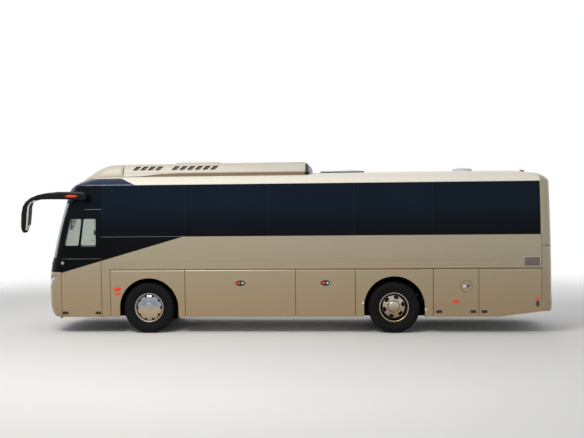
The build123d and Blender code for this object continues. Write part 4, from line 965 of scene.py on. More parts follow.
total = 2 * acHalfLength
foot = [(-0.55, 0.0), (-0.2, 0.008), (0.2, acV(3.172)), (0.6, acV(ac["footZ"])), (ac["rear"], acV(ac["footZ"]))]
outline = foot + [(x, total - v) for x, v in reversed(foot)]
vents = []
for first, pitch, count in ac["groups"]:
    for i in range(count):
        x = first + i * pitch
        v0, v1 = acV(ac["ventZ"][0]), acV(ac["ventZ"][1])
        shape = [(x, v0), (x + ac["ventWidth"], v0), (x + ac["ventWidth"] + ac["lean"], v1), (x + ac["lean"], v1)]
        vents.append(roundLoop(shape, 0.006, 2))
        vents.append(roundLoop([(x, total - v) for x, v in shape], 0.006, 2))
acMap = surfaceMap(acPoint, lambda p: Vector((0, p.y * 0.3, 1)))
panel("ac_housing", outline, vents, acMap, [acPaint, ventDark], thick=0.018, edge=0.003,
      cuts=([], sorted(acLengths[1:] + [total - d for d in acLengths[1:-1]])), inner=True, slot="cream_paint",
      nodes=("ac_unit",))
bm = bmesh.new()
for side in (-1, 1):  # dark boards behind the vents
    y0, y1 = side * (ac["base"] - 0.05), side * (ac["knee"] - 0.035)
    loft(bm, [[(x, y0, ac["sunkZ"]), (x, y1, 3.35)] for x in (-0.5, 1.5)], closed=False, capped=False)
addPiece("ac_louvres", tidyMesh(bm), [ventDark], slot="cream_paint")
# a brown strip where the air conditioner meets the roof: painted shade under its foot
bm = bmesh.new()
shadeStrip = []
for x in [-0.55, 0.0, 0.5, 1.0, 2.0, 3.115]:
    y, footZ = ac["shadeStripY"], roofZ(x, ac["shadeStripY"]) - 0.012
    shadeStrip.append([(x, -y, footZ), (x, -y + 0.01, ac["shadeStripZ"]), (x, y - 0.01, ac["shadeStripZ"]), (x, y, footZ)])
loft(bm, shadeStrip)
paintedShadeBrown = finish("painted shade brown", rgb(112, 92, 66), 0.55, spread=0.12, spreadScale=5.0)
addPiece("ac_shade_strip", tidyMesh(bm), [paintedShadeBrown], slot="cream_paint")
bm = bmesh.new()
rows = []
for k in range(7):  # convex rear end
    t = k / 6
    x = ac["rear"] + 0.002 + (ac["end"] - ac["rear"]) * sin(t * pi / 2)
    scale = cos(t * pi / 2 * 0.72)
    half = [(y * (0.9 + 0.1 * scale), ac["footZ"] - 0.02 + (z - ac["footZ"] + 0.02) * scale)
            for y, z in acSection(ac["footZ"] - 0.01)[:-1]]
    rows.append([(x, y, z) for y, z in half] + [(x, -y, z) for y, z in reversed(half)])
loft(bm, rows)
acEndBlue = finish("air conditioner end", rgb(44, 52, 66), 0.35, spread=0.1, spreadScale=5.0)
addPiece("ac_end", tidyMesh(bm), [acEndBlue], slot="cream_paint", sharp=40)
bm = bmesh.new()
for x0, x1, top, half in ac["covers"]:
    rise = top - ac["topZ"]
    rows = []
    for inset, z in ((0, ac["topZ"] - 0.002), (0.002, ac["topZ"] + rise * 0.3), (rise * 0.6, top - rise * 0.12),
                     (rise * 1.2 + 0.01, top)):
        loop = boxLoop(x0 + inset, -half + inset, x1 - inset, half - inset, 0.05)
        rows.append([(x, y, z) for x, y in loop])
    loft(bm, rows)
addPiece("ac_covers", tidyMesh(bm), [acPaint], slot="cream_paint", nodes=("ac_covers",), sharp=40)

# Fairing: the same section drawn down to the brow, its front edge bowed over the roof
fairing = dict(front=-1.450, rear=-0.556, waistX=-1.000, bowX=-1.400, bowHalf=0.830, edge=0.006)
fairingTop = curveThrough([(-1.500, 3.006), (-1.400, 3.070), (-1.127, 3.244), (-1.020, 3.298), (-0.925, 3.336),
                           (-0.820, 3.359), (-0.705, 3.368), (-0.554, 3.3681)])


def fairingHalf(x):
    # half width in plan: straight, drawn in, then bowed to the front
    if x > fairing["waistX"]:
        return ac["base"]
    if x > fairing["bowX"]:
        share = (fairing["waistX"] - x) / (fairing["waistX"] - fairing["bowX"])
        return ac["base"] - share * (ac["base"] - fairing["bowHalf"])
    share = (fairing["bowX"] - x) / (fairing["bowX"] - fairing["front"])
    return fairing["bowHalf"] * sqrt(max(0.0, 1 - share))


bm = bmesh.new()
rows = []
fairingXs = [fairing["rear"], -0.63, -0.705] + [-0.705 - 0.055 * k for k in range(1, 13)]
for x in fairingXs + [fairing["bowX"], -1.415, -1.428, -1.438, -1.446]:
    half = fairingHalf(x)
    crowned = 0.035 * max(0, min(1, (-0.9 - x) / 0.4))  # the front part is higher in its middle
    sideRow = []
    for k in range(15):
        y = half * sin(k / 14 * pi / 2)
        fall = max(0, (y - half + 0.16) / 0.16)
        knee = (fairingTop(x) - roofZ(x, half)) * (1 - sqrt(max(0, 1 - (0.985 * fall) ** 2)))
        top = fairingTop(x) + crowned * (1 - (y / half) ** 2) - knee
        sideRow.append((x, y, max(top, roofZ(x, min(y, half)) + fairing["edge"])))
    sideRow.append((x, half + 0.002, roofZ(x, half + 0.002) - 0.01))
    rows.append([(px, -py, pz) for px, py, pz in reversed(sideRow[1:])] + sideRow)
loft(bm, rows, closed=False, capped=False)
fairingPiece = addPiece("roof_fairing", tidyMesh(bm), [acPaint], slot="cream_paint", nodes=("roof_fairing",), sharp=50)
fold = fairingPiece.modifiers.new("shell", "SOLIDIFY")
fold.thickness, fold.offset = 0.02, -1
bm = bmesh.new()  # dark seam between the fairing and the air conditioner
rows = []
for x in (-0.557, -0.549):
    half = [(y * 0.994, z - 0.004) for y, z in acPath]
    rows.append([(x, y, z) for y, z in half] + [(x, -y, z) for y, z in reversed(half[:-1])])
loft(bm, rows)
addPiece("fairing_seal", tidyMesh(bm), [rubber], slot="black_plastic")
print("air conditioner made")

# Small raised forms on the surfaces

def boss(bm, loop, place, rise=0.008, soft=0.004, index=0):
    # raised form with a soft edge
    loop = loop if area2(loop) > 0 else loop[::-1]
    rings = [(0, -0.002), (0, rise - soft), (0.3 * soft, rise - 0.3 * soft), (soft, rise)]
    loft(bm, [[place(u, v, -up)[0] for u, v in offsetLoop(loop, away)] for away, up in rings], True, True, index)


def bar(bm, place, start, stop, low, high, step=0.2):
    # flat bar over a map between two corners and two depths, following the surface
    (u0, v0), (u1, v1) = start, stop
    if u1 - u0 > v1 - v0:
        ends = [((u, v0), (u, v1)) for u in [u0] + spread(u0, u1, step) + [u1]]
    else:
        ends = [((u0, v), (u1, v)) for v in [v0] + spread(v0, v1, step) + [v1]]
    loft(bm, [[place(*a, low)[0], place(*b, low)[0], place(*b, high)[0], place(*a, high)[0]] for a, b in ends])


def fittings(name, place, parts, rider="coach", slot="black_plastic"):
    # one piece of several raised forms, each given as (loop, rise, softness, material)
    bm = bmesh.new()
    used = []
    for loop, rise, soft, material in parts:
        if material not in used:
            used.append(material)
        boss(bm, loop, place, rise, soft, used.index(material))
    return addPiece(name, tidyMesh(bm), used, rider=rider, slot=slot)


latch = dict(half=(0.0575, 0.0275), rise=0.007)
latches = {"driver_flap": [(-1.684, 0.408), (-1.017, 0.408)], "side_flap_": [(5.717, 0.427), (6.372, 0.427)],
           "corner_flap_": [(6.583, 0.427)]}
handles = {"luggage_flap_front_": (1.845, 0.993), "luggage_flap_rear_": (3.515, 0.993)}


def latchForms(x, z):
    # a plate with a small grip on it
    (a, b), rise = latch["half"], latch["rise"]
    return [(boxLoop(x - a, z - b, x + a, z + b, 0.02), rise, 0.004, blackPlastic),
            (boxLoop(x - a * 0.5, z - b * 0.35, x + a * 0.5, z + b * 0.35, 0.006), rise + 0.004, 0.003, rubber)]


for side, word in sides:
    place = sideMap(side)
    for flap, places in latches.items():
        rider = flap + word if flap.endswith("_") else flap
        if flap.endswith("_") or side < 0:  # the driver's flap is on the left only
            fittings("latches_" + rider, place, [form for x, z in places for form in latchForms(x, z)], rider=rider)
    for flap, (x, z) in handles.items():
        fittings("handle_" + flap + word, place,
                 [(ovalAt(x, z, 0.095, 0.055, 28), 0.008, 0.005, blackPlastic),
                  (ovalAt(x - 0.034, z, 0.034, 0.022), 0.012, 0.004, orangeLens),
                  (ovalAt(x + 0.046, z, 0.02, 0.02), 0.013, 0.004, whitePlastic)], rider=flap + word)
    fittings("side_markers_" + word, place, [(ovalAt(-0.621, 0.888, 0.070, 0.038), 0.022, 0.016, orangeLens),
                                             (boxLoop(-0.664, 0.770, -0.556, 0.808, 0.012), 0.007, 0.003, orangeLens)],
             slot="red_lamp")
    fittings("flap_reflector_" + word, place, [(boxLoop(5.974, 0.601, 6.110, 0.645, 0.012), 0.007, 0.003, orangeLens)],
             rider="side_flap_" + word, slot="red_lamp")
    fittings("corner_fittings_" + word, place,
             [(boxLoop(7.553, 0.654, 7.640, 0.690, 0.012), 0.007, 0.003, orangeLens),
              (boxLoop(7.572, 0.525, 7.620, 0.635, 0.02), 0.016, 0.008, blackPlastic)], rider="corner_flap_" + word)
    fittings("side_grille_" + word, place, [(boxLoop(7.330, 1.302, 7.646, 1.494, 0.010), 0.004, 0.002, alloy),
                                            (boxLoop(7.346, 1.316, 7.634, 1.482, 0.006), 0.0055, 0.001, meshGrille)],
             slot="gold_paint")
    # a strip along the waist's foot, its orange-brown a painted reflection of the ground on the lip's underside
    bm = bmesh.new()
    bar(bm, sideMap(side, easeWaist), (seams["strip"], 1.2650), (seams["tail"] - gap, 1.2765), -0.003, 0.004)
    addPiece("ground_reflection_strip_" + word, tidyMesh(bm), [groundReflectionStrip], slot="gold_paint")
    # light lines: the rain strip over the door is a trim, and the two lines under the driver's window are painted
    # highlights along seams
    bm = bmesh.new()
    bar(bm, place, (-0.936, 1.9195), (0.739, 1.9250), -0.0015, 0.004)
    bar(bm, place, (-1.270, 2.466), (-0.925, 2.474), -0.009, 0.002)
    bar(bm, place, (-1.340, 2.9450), (-0.230, 2.9500), -0.003, 0.004, step=0.05)
    if side < 0:
        bar(bm, place, (-1.345, 1.7320), (-1.045, 1.7370), -0.003, 0.002)
        bar(bm, place, (-1.738, 1.4875), (-0.944, 1.4920), 0.001, 0.004)
    addPiece("trim_and_highlight_" + word, tidyMesh(bm), [trimAndHighlightGrey], slot="gloss_black")
    bm = bmesh.new()  # dark strips behind the seams
    for x in (seams["doorRear"], seams["strip"], seams["archFront"], seams["hold"], seams["holdRear"],
              seams["archRear"], seams["sideFlap"]):
        bar(bm, place, (x - 0.03, 0.334), (x + 0.03, 1.200), 0.054, 0.058)
    addPiece("seam_backing_" + word, tidyMesh(bm), [linerBlack], slot="black_plastic")
    fittings("arch_clips_" + word, place, [(ovalAt(4.247, 0.599, 0.018, 0.026), 0.004, 0.003, whitePlastic),
                                           (ovalAt(5.464, 0.471, 0.018, 0.022), 0.004, 0.003, whitePlastic)],
             slot="white_plastic")
bm = bmesh.new()  # dark boards inside the arches, painted shade standing for the shadow under the bus, and mud flaps behind the wheels
for side in (-1, 1):
    y0, y1 = sorted((side * 0.500, side * 0.506))
    for x in (0.0, seams["archRearAt"][0]):
        for low, high in ((x - 0.960, x - 0.110), (x + 0.110, x + 0.640)):
            boxAt(bm, (low, y0, 0.262), (high, y1, 0.560), 0.002)
        y2, y3 = sorted((side * 0.640, side * 1.130))
        boxAt(bm, (x + 0.606, y2, 0.300), (x + 0.612, y3, 0.640), 0.002)
addPiece("arch_shade_boards_and_mud_flaps", tidyMesh(bm), [linerBlack], slot="black_plastic")
bm = bmesh.new()
tailS = sAtX("tail", 7.681, 1.70)
bar(bm, endMap("tail"), (-tailS, 1.6965), (tailS, 1.7030), -0.0008, 0.004, step=0.04)
for sign in (-1, 1):
    ends = sorted((sign * sAtY("nose", 0.70, 1.150), sign * (sAtX("nose", mask["rearX"], 1.150) - 0.002)))
    bar(bm, endMap("nose"), (ends[0], 1.148), (ends[1], 1.153), -0.0006, 0.003, step=0.03)
addPiece("end_seams", tidyMesh(bm), [rubber], slot="black_plastic")
fittings("cowl_button", sideMap(-1), [(ovalAt(-1.721, 1.406, 0.034, 0.034), 0.010, 0.008, goldPaint)],
         rider="driver_flap", slot="gold_paint")
fittings("fuel_lock", sideMap(-1), [(ovalAt(6.208, 0.914, 0.040, 0.030), 0.008, 0.005, chrome),
                                    (ovalAt(6.262, 0.918, 0.018, 0.022), 0.008, 0.004, blackPlastic),
                                    (ovalAt(6.296, 0.934, 0.014, 0.018), 0.006, 0.003, blackPlastic)],
         rider="fuel_flap")
fittings("window_latch", sideMap(-1), [(ovalAt(-1.062, 2.010, 0.022, 0.055), 0.006, 0.004, blackPlastic)])
fittings("door_handle", sideMap(1), [(boxLoop(-1.030, 1.180, -0.985, 1.420, 0.02), 0.020, 0.010, blackPlastic)],
         rider="entry_door")
front, rear = endMap("nose"), endMap("tail")
fittings("front_plate", front, [(boxLoop(-0.22, 0.348, 0.22, 0.458, 0.008), 0.016, 0.002, whitePlastic)],
         slot="white_plastic")
fittings("rear_plate", rear, [(boxLoop(-0.22, 0.490, 0.22, 0.610, 0.008), 0.006, 0.002, whitePlastic)],
         slot="white_plastic")
fittings("fog_lamps", front,
         [(ovalAt(sign * 0.80, 0.560, size, size, 24), rise, 0.004, material) for sign in (-1, 1)
          for size, rise, material in ((0.062, 0.007, blackPlastic), (0.048, 0.009, lampGlass))], slot="headlamp")
fittings("headlamp_reflectors", behind("nose", 0.038),  # a hair in front of the bowls
         [(ovalAt(sign * y, 1.008, size, size, 28), rise, soft, material) for sign in (-1, 1) for y in (0.735, 0.885)
          for size, rise, soft, material in ((0.060, 0.016, 0.005, chrome), (0.050, 0.0165, 0.002, blackPlastic),
                                             (0.036, 0.026, 0.014, mirrorGlass))], slot="headlamp")
fittings("rear_reflectors", rear,
         [(boxLoop(sign * 0.92 - 0.06, 0.540, sign * 0.92 + 0.06, 0.575, 0.008), 0.006, 0.002, redLens)
          for sign in (-1, 1)], slot="red_lamp")
fittings("lid_handle", rear, [(boxLoop(-0.08, 0.690, 0.08, 0.730, 0.015), 0.010, 0.006, blackPlastic)],
         rider="engine_lid")

# Wipers, parked along the foot of the windscreen
wipers = dict(pivots=(-0.80, 0.14), pivotZ=1.375, reach=0.62, armZ=1.500, bladeZ=1.470, blade=0.86)
bm = bmesh.new()
for y in wipers["pivots"]:
    boss(bm, ovalAt(y, wipers["pivotZ"], 0.050, 0.040, 24), front, 0.036, 0.020)
    rise = wipers["armZ"] - wipers["pivotZ"]
    arm = [front(y + wipers["reach"] * k / 8, wipers["pivotZ"] + rise * sin(k / 8 * pi / 2), -0.034)[0]
           for k in range(9)]
    sweep(bm, arm, lambda share: oval(0.007, 0.013 - 0.005 * share, 8))
    blade = [front(y + 0.16 + wipers["blade"] * k / 10, wipers["bladeZ"] + 0.018 * sin(k / 10 * pi), -0.014)[0]
             for k in range(11)]
    sweep(bm, blade, lambda share: oval(0.010, 0.012, 8))
    joint = front(y + wipers["reach"], wipers["armZ"] - 0.008, -0.024)[0]
    boxAt(bm, joint - Vector((0.012, 0.03, 0.016)), joint + Vector((0.012, 0.03, 0.016)), 0.005)
addPiece("wipers", tidyMesh(bm), [blackPlastic], slot="black_plastic")
bm = bmesh.new()
revolve(bm, [(0, -0.02), (0.012, -0.018), (0.02, -0.008), (0.02, 0.01), (0, 0.012)], (-1.772, -1.170, 0.318),
        axis=(0, 0, 1), steps=16)
addPiece("tow_knob", tidyMesh(bm), [blackPlastic], slot="black_plastic")
print("fittings made")

# Mirrors: one horn each side, drawn through rounded sections between an upper and a lower (x, z) line
horn = dict(y=1.380, squareness=0.7, steps=24, lamp=(-1.475, 2.735, 0.127, 0.024),
            upper=[(-1.181, 2.775), (-1.200, 2.803), (-1.260, 2.819), (-1.500, 2.825), (-1.738, 2.827),
                   (-1.983, 2.805), (-2.155, 2.771), (-2.303, 2.713), (-2.403, 2.630), (-2.453, 2.534),
                   (-2.480, 2.390), (-2.488, 2.222), (-2.487, 2.120), (-2.470, 2.060), (-2.440, 2.019)],
            lower=[(-1.181, 2.690), (-1.200, 2.660), (-1.256, 2.643), (-1.500, 2.670), (-1.730, 2.676),
                   (-1.940, 2.678), (-2.080, 2.676), (-2.180, 2.655), (-2.262, 2.615), (-2.300, 2.545),
                   (-2.310, 2.440), (-2.321, 2.317), (-2.335, 2.173), (-2.361, 2.077), (-2.390, 2.030)],
            half=[0.022, 0.034, 0.040, 0.041, 0.041, 0.041, 0.042, 0.046, 0.070, 0.100, 0.108, 0.108, 0.106, 0.092,
                  0.060])


def squared(value):
    return copysign(abs(value) ** horn["squareness"], value)


for side, word in sides:
    bm = bmesh.new()
    rings = []
    for (x0, z0), (x1, z1), half in zip(horn["upper"], horn["lower"], horn["half"]):
        ring = []
        for p, q in oval(1, 1, horn["steps"]):
            share = squared(p) / 2
            ring.append(((x0 + x1) / 2 + (x0 - x1) * share, side * (horn["y"] + half * squared(q)),
                         (z0 + z1) / 2 + (z0 - z1) * share))
        rings.append(ring)
    rows = loft(bm, rings)
    for i in range(7, len(rows) - 2):  # pale rear edge as a painted highlight, and a red marker on the leading one
        for k in range(horn["steps"]):
            j = (k + 1) % horn["steps"]
            face = bm.faces.get((rows[i][k], rows[i][j], rows[i + 1][j], rows[i + 1][k]))
            back = squared(cos(2 * pi * (k + 0.5) / horn["steps"]))
            face.material_index = 1 if back < -0.7 else 2 if back > 0.9 and i == 11 else 0
    for i in range(8, 12):  # glass
        (x0, z0), (x1, z1) = horn["lower"][i], horn["lower"][i + 1]
        away = Vector((z0 - z1, 0, x1 - x0)).normalized()
        away = away if away.x > 0 else -away
        corners = []
        for lift in (0.0005, 0.0025):
            for x, z, half in ((x0, z0, horn["half"][i]), (x1, z1, horn["half"][i + 1])):
                for way in (-1, 1):
                    corners.append(Vector((x, side * horn["y"] + way * half * 0.78, z)) + away * lift)
        low, high = corners[:4], corners[4:]
        loft(bm, [[low[0], low[1], high[1], high[0]], [low[2], low[3], high[3], high[2]]], True, True, 3)
    low, high = sorted((side * 1.165, side * 1.400))  # foot on the body's side
    boxAt(bm, (-1.330, low, 2.690), (-1.195, high, 2.785), 0.03, 3)
    facing = planeMap((0, side * (horn["y"] + 0.038), 0), (-side, 0, 0), (0, 0, 1))
    x, z, a, b = horn["lamp"]
    boss(bm, ovalAt(-side * x, z, a, b, 28), facing, 0.014, 0.010, 4)
    addPiece("mirror_" + word, tidyMesh(bm), [hornPaint, paintedSunlitCream, redLens, mirrorGlass, orangeLens],
             slot="gloss_black", nodes=("mirrors",) if side < 0 else (), sharp=45)
print("mirrors made")

# Wheels
wheels = dict(z=0.505, steps=180, frontY=1.048, rearY=1.036, pitch=0.332, rearX=4.850)
cover = dict(radius=0.252, dip=0.040, waves=10, steps=160)
disc = dict(radius=0.262, bore=0.112, holes=6, holeAt=0.188, holeHalf=(0.032, 0.050), turned=15)
nuts = dict(count=10, radius=0.138)
# half of a tyre's section as (radius, distance from its middle, depth of the notches)
tyreSide = [(0.2925, 0.101, 0), (0.300, 0.112, 0), (0.316, 0.1215, 0), (0.330, 0.1265, 0), (0.333, 0.1240, 0),
            (0.338, 0.1245, 0), (0.342, 0.130, 0), (0.385, 0.1425, 0), (0.415, 0.146, 0), (0.418, 0.1445, 0),
            (0.424, 0.1445, 0), (0.427, 0.1455, 0), (0.452, 0.1405, 0), (0.474, 0.1345, 0.005), (0.478, 0.1305, 0.008),
            (0.493, 0.118, 0.010), (0.501, 0.104, 0.009), (0.504, 0.090, 0.0), (0.5045, 0.074, 0), (0.492, 0.0715, 0),
            (0.492, 0.0625, 0), (0.505, 0.060, 0), (0.505, 0.0215, 0), (0.492, 0.019, 0), (0.492, 0.010, 0),
            (0.505, 0.0075, 0)]


def makeTyre(bm, x, y):
    # grooved tread with notched shoulders
    profile = tyreSide + [(r, -d, notch) for r, d, notch in reversed(tyreSide)]
    rows = []
    for k in range(wheels["steps"]):
        angle = 2 * pi * k / wheels["steps"]
        cut = 1 if k % 3 == 0 else 0
        rows.append([(x + (r - notch * cut) * cos(angle), y + d, wheels["z"] + (r - notch * cut) * sin(angle))
                     for r, d, notch in profile])
    loft(bm, rows + rows[:1], True, False)


# sections of rings as (radius, distance from the wheel's middle)
rimRing = [(0.262, 0.078), (0.264, 0.098), (0.270, 0.107), (0.277, 0.1108), (0.2865, 0.1108), (0.2905, 0.105),
           (0.290, 0.098), (0.279, 0.097), (0.271, 0.090), (0.270, 0.078)]
frontCap = [(0.001, 0.1205), (0.001, 0.1237), (0.030, 0.1237), (0.034, 0.1225), (0.074, 0.1225), (0.078, 0.1237),
            (0.084, 0.1232), (0.088, 0.1200), (0.088, 0.1150), (0.080, 0.1150)]
rearHub = [(0.100, -0.05), (0.112, -0.05), (0.1125, 0.052), (0.104, 0.062), (0.09, 0.0685), (0.03, 0.0705),
           (0.001, 0.0705), (0.001, 0.0702), (0.09, 0.067), (0.1, 0.05)]


def ringOn(bm, profile, x, y, side, index=0):
    # closed section turned about a wheel's axis
    revolve(bm, profile, (x, y, wheels["z"]), axis=(0, side, 0), steps=72, index=index, closed=True)


def faceMap(x, y, side, face):
    # map of a dished face that stands out face(radius) from the wheel's middle
    middle = Vector((x, y, wheels["z"]))
    return surfaceMap(lambda u, v: middle + Vector((u, side * face(hypot(u, v)), v)), lambda p: Vector((0, side, 0)))


coverFace = curveThrough([(0, 0.118), (0.088, 0.1185), (0.125, 0.1165), (0.165, 0.1105), (0.205, 0.102),
                          (0.235, 0.091), (0.255, 0.080)])
discFace = curveThrough([(0.110, 0.018), (0.140, 0.020), (0.165, 0.012), (0.210, 0.010), (0.235, 0.000),
                         (0.262, -0.040)])
scallops = []
for k in range(cover["steps"]):
    angle = 2 * pi * k / cover["steps"]
    reach = cover["radius"] - cover["dip"] * max(0.0, cos(cover["waves"] * angle)) ** 0.8
    scallops.append((reach * cos(angle), reach * sin(angle)))
discHoles = []
for k in range(disc["holes"]):
    turned = radians(360 / disc["holes"] * k + disc["turned"])
    long, wide = disc["holeHalf"]
    hole = [(disc["holeAt"] + long * c, wide * s) for c, s in oval(1, 1, 24)]
    discHoles.append([(u * cos(turned) - v * sin(turned), u * sin(turned) + v * cos(turned)) for u, v in hole])
grid = spread(-0.27, 0.27, 0.03)
for side, word in sides:
    for end, x, ys in (("front", 0.0, [wheels["frontY"]]),
                       ("rear", wheels["rearX"], [wheels["rearY"], wheels["rearY"] - wheels["pitch"]])):
        rider = "wheel_%s_%s" % (end, word)
        tyreNode = ("tyre_front_" if end == "front" else "tyres_rear_") + word
        bm = bmesh.new()
        for y in ys:
            makeTyre(bm, x, side * y)
        addPiece(tyreNode + "_detail", tidyMesh(bm), [tyreRubber], rider=rider, slot="tyre", nodes=(tyreNode,),
                 sharp=28)
        bm = bmesh.new()
        y = side * ys[0]
        ringOn(bm, rimRing, x, y, side, 0 if end == "front" else 1)
        if end == "front":
            ringOn(bm, frontCap, x, y, side)
        else:
            ringOn(bm, rearHub, x, y, side, 1)
            for k in range(nuts["count"]):
                angle = 2 * pi * (k + 0.5) / nuts["count"]
                at = (x + nuts["radius"] * cos(angle), y + side * 0.020, wheels["z"] + nuts["radius"] * sin(angle))
                revolve(bm, [(0.0145, -0.006), (0.0145, 0.014), (0.009, 0.022), (0, 0.022)], at, (0, side, 0), 6)
        addPiece("rim_ring_%s_%s" % (end, word), tidyMesh(bm), [rimPaint, alloy], rider=rider, slot="rim_steel")
        if end == "front":
            panel("wheel_cover_" + word, scallops, [], faceMap(x, y, side, coverFace), [coverChrome], thick=0.003,
                  edge=0.001, cuts=(grid, grid), rider=rider, slot="rim_steel")
        else:
            panel("wheel_disc_" + word, ovalAt(0, 0, disc["radius"], disc["radius"], 72),
                  [ovalAt(0, 0, disc["bore"], disc["bore"], 48)] + discHoles, faceMap(x, y, side, discFace), [alloy],
                  thick=0.008, edge=0.003, cuts=(grid, grid), rider=rider, slot="rim_steel")
print("wheels made")

# Roof fittings: emergency hatch, mushroom vent and red lamp
# raised gives the flange's width in front, behind and at the sides
hatch = dict(x=(3.400, 4.310), half=0.330, low=3.206, flange=3.219, top=3.2375, raised=(0.280, 0.130, 0.070))
bm = bmesh.new()
x0, x1 = hatch["x"]
before, after, aside = hatch["raised"]
half = hatch["half"]
flat = planeMap((0, 0, hatch["low"]), (1, 0, 0), (0, 1, 0))
boss(bm, boxLoop(x0, -half, x1, half, 0.04), flat, hatch["flange"] - hatch["low"], 0.004)
boss(bm, boxLoop(x0 + before, aside - half, x1 - after, half - aside, 0.05), flat, hatch["top"] - hatch["low"], 0.012)
boss(bm, boxLoop(x0 + 0.06, -0.20, x0 + 0.22, 0.20, 0.02), flat, 0.019, 0.005)
for y in (-0.2, 0.2):
    revolve(bm, [(0, -0.03), (0.0053, -0.03), (0.0053, 0.03), (0, 0.03)], (x0 + 0.0045, y, 3.2015), (0, 1, 0), 12)
addPiece("roof_hatch_lid", tidyMesh(bm), [whitePlastic], rider="roof_hatch", slot="white_plastic",
         nodes=("roof_hatch",))
bm = bmesh.new()
revolve(bm, [(0, 3.170), (0.190, 3.170), (0.186, 3.206), (0.196, 3.212), (0.204, 3.219), (0.205, 3.228),
             (0.198, 3.236), (0.160, 3.240), (0.148, 3.247), (0.120, 3.2535), (0.06, 3.2555), (0, 3.256)],
        (6.330, 0, 0), (0, 0, 1), 48)
addPiece("roof_vent_cap", tidyMesh(bm), [whitePlastic], slot="white_plastic", nodes=("roof_vent",))
bm = bmesh.new()
revolve(bm, [(0, 3.140), (0.060, 3.140), (0.061, 3.158), (0.055, 3.162), (0, 3.162)], (7.545, 0, 0), (0, 0, 1), 32, 0)
revolve(bm, [(0, 3.160), (0.054, 3.160), (0.053, 3.176), (0.046, 3.194), (0.032, 3.206), (0.015, 3.2112), (0, 3.212)],
        (7.545, 0, 0), (0, 0, 1), 32, 1)
addPiece("roof_lamp", tidyMesh(bm), [blackPlastic, redLens], slot="red_lamp")
print("roof fittings made")

# Seats: each cushion and back is one pad, swollen like cloth under light pressure and set out in its rows
swelling = dict(pressure=4, frames=20, most=0.020)


def evaluated(holder):
    # mesh of an object with its modifiers applied
    return bpy.data.meshes.new_from_object(holder.evaluated_get(bpy.context.evaluated_depsgraph_get()))


def swollenPad(size, voxel):
    # points and faces of a rounded block, remeshed evenly, then swollen no further than the cap
    bm = bmesh.new()
    boxAt(bm, (-size[0] / 2, -size[1] / 2, 0), (size[0] / 2, size[1] / 2, size[2]), min(size) * 0.42, 4)
    mesh = bpy.data.meshes.new("pad")
    bm.to_mesh(mesh)
    bm.free()
    holder = bpy.data.objects.new("pad", mesh)
    scene.collection.objects.link(holder)
    grid = holder.modifiers.new("grid", "REMESH")
    grid.mode, grid.voxel_size = "VOXEL", voxel
    mesh = evaluated(holder)
    holder.modifiers.clear()
    holder.data = mesh
    cloth = holder.modifiers.new("cloth", "CLOTH")
    cloth.settings.use_pressure = True
    cloth.settings.uniform_pressure_force = swelling["pressure"]
    cloth.settings.effector_weights.gravity = 0
    for step in range(1, swelling["frames"] + 1):
        scene.frame_set(step)
    swelled = evaluated(holder)
    moves = [end.co - start.co for start, end in zip(mesh.vertices, swelled.vertices)]
    drift = sum(moves, Vector()) / len(moves)
    for vert, move in zip(mesh.vertices, moves):
        move -= drift
        vert.co += move * min(1, swelling["most"] / max(move.length, 1e-6))
    holder.modifiers.clear()
    scene.frame_set(1)
    long, wide, thick = size
    for vert in mesh.vertices:  # fuller in the middle, drawn in at the sides, with two sewn channels
        a, b = 2 * vert.co.x / long, 2 * vert.co.y / wide
        top = max(0.0, min(1.0, vert.co.z / thick * 2 - 1))
        vert.co.z += 0.014 * top * max(0.0, 1 - a * a) * max(0.0, 1 - b * b)
        vert.co.y *= 1 - 0.035 * max(0.0, 1 - a * a)
        vert.co.z -= 0.009 * top * max(0.0, 1 - abs(abs(vert.co.y) - wide * 0.27) / 0.022)
    points, faces = [vert.co.copy() for vert in mesh.vertices], [tuple(face.vertices) for face in mesh.polygons]
    bpy.data.objects.remove(holder)
    return points, faces


def setPad(bm, pad, middle, along, out):
    # pad laid with its length along one direction and its thickness towards another
    along, out = Vector(along).normalized(), Vector(out).normalized()
    across = out.cross(along)
    points, faces = pad
    verts = [bm.verts.new(Vector(middle) + along * p.x + across * p.y + out * p.z) for p in points]
    for face in faces:
        bm.faces.new([verts[i] for i in face])


seatRows = dict(first=-0.420, pitch=0.775, count=10, floor=1.300, places=(0.4875, 0.9300))
cushion, back = swollenPad((0.385, 0.405, 0.080), 0.020), swollenPad((0.655, 0.405, 0.070), 0.022)
cushions, backs, legs = bmesh.new(), bmesh.new(), bmesh.new()
for i in range(seatRows["count"]):
    x0, z0 = seatRows["first"] + i * seatRows["pitch"], seatRows["floor"]
    for side in (-1, 1):
        for y in seatRows["places"]:
            setPad(cushions, cushion, (x0 + 0.222, side * y, z0 + 0.345), (1, 0, -0.045), (0.045, 0, 1))
            setPad(backs, back, (x0 + 0.575, side * y, z0 + 0.745), (-0.14, 0, -0.695), (-0.695, 0, 0.14))
        for y in (side * 0.45, side * 0.97):
            boxAt(legs, (x0 + 0.07, y - 0.02, z0), (x0 + 0.38, y + 0.02, z0 + 0.025), 0.006)
            boxAt(legs, (x0 + 0.17, y - 0.02, z0 + 0.02), (x0 + 0.28, y + 0.02, z0 + 0.335), 0.006)
        low, high = sorted((side * 0.290, side * 1.130))
        boxAt(legs, (x0 + 0.07, low, z0 + 0.318), (x0 + 0.40, high, z0 + 0.338), 0.008)
        low, high = sorted((side * 0.272, side * 0.300))
        boxAt(legs, (x0 + 0.12, low, z0 + 0.560), (x0 + 0.44, high, z0 + 0.592), 0.010)
addPiece("passenger_cushions", cushions, [seatCloth], slot="seat_fabric", nodes=("passenger_seats",),
                   sharp=60)
addPiece("passenger_backs", backs, [seatCloth], slot="seat_fabric", sharp=60)
addPiece("passenger_seat_frames", tidyMesh(legs), [blackPlastic], slot="black_plastic")
bm = bmesh.new()
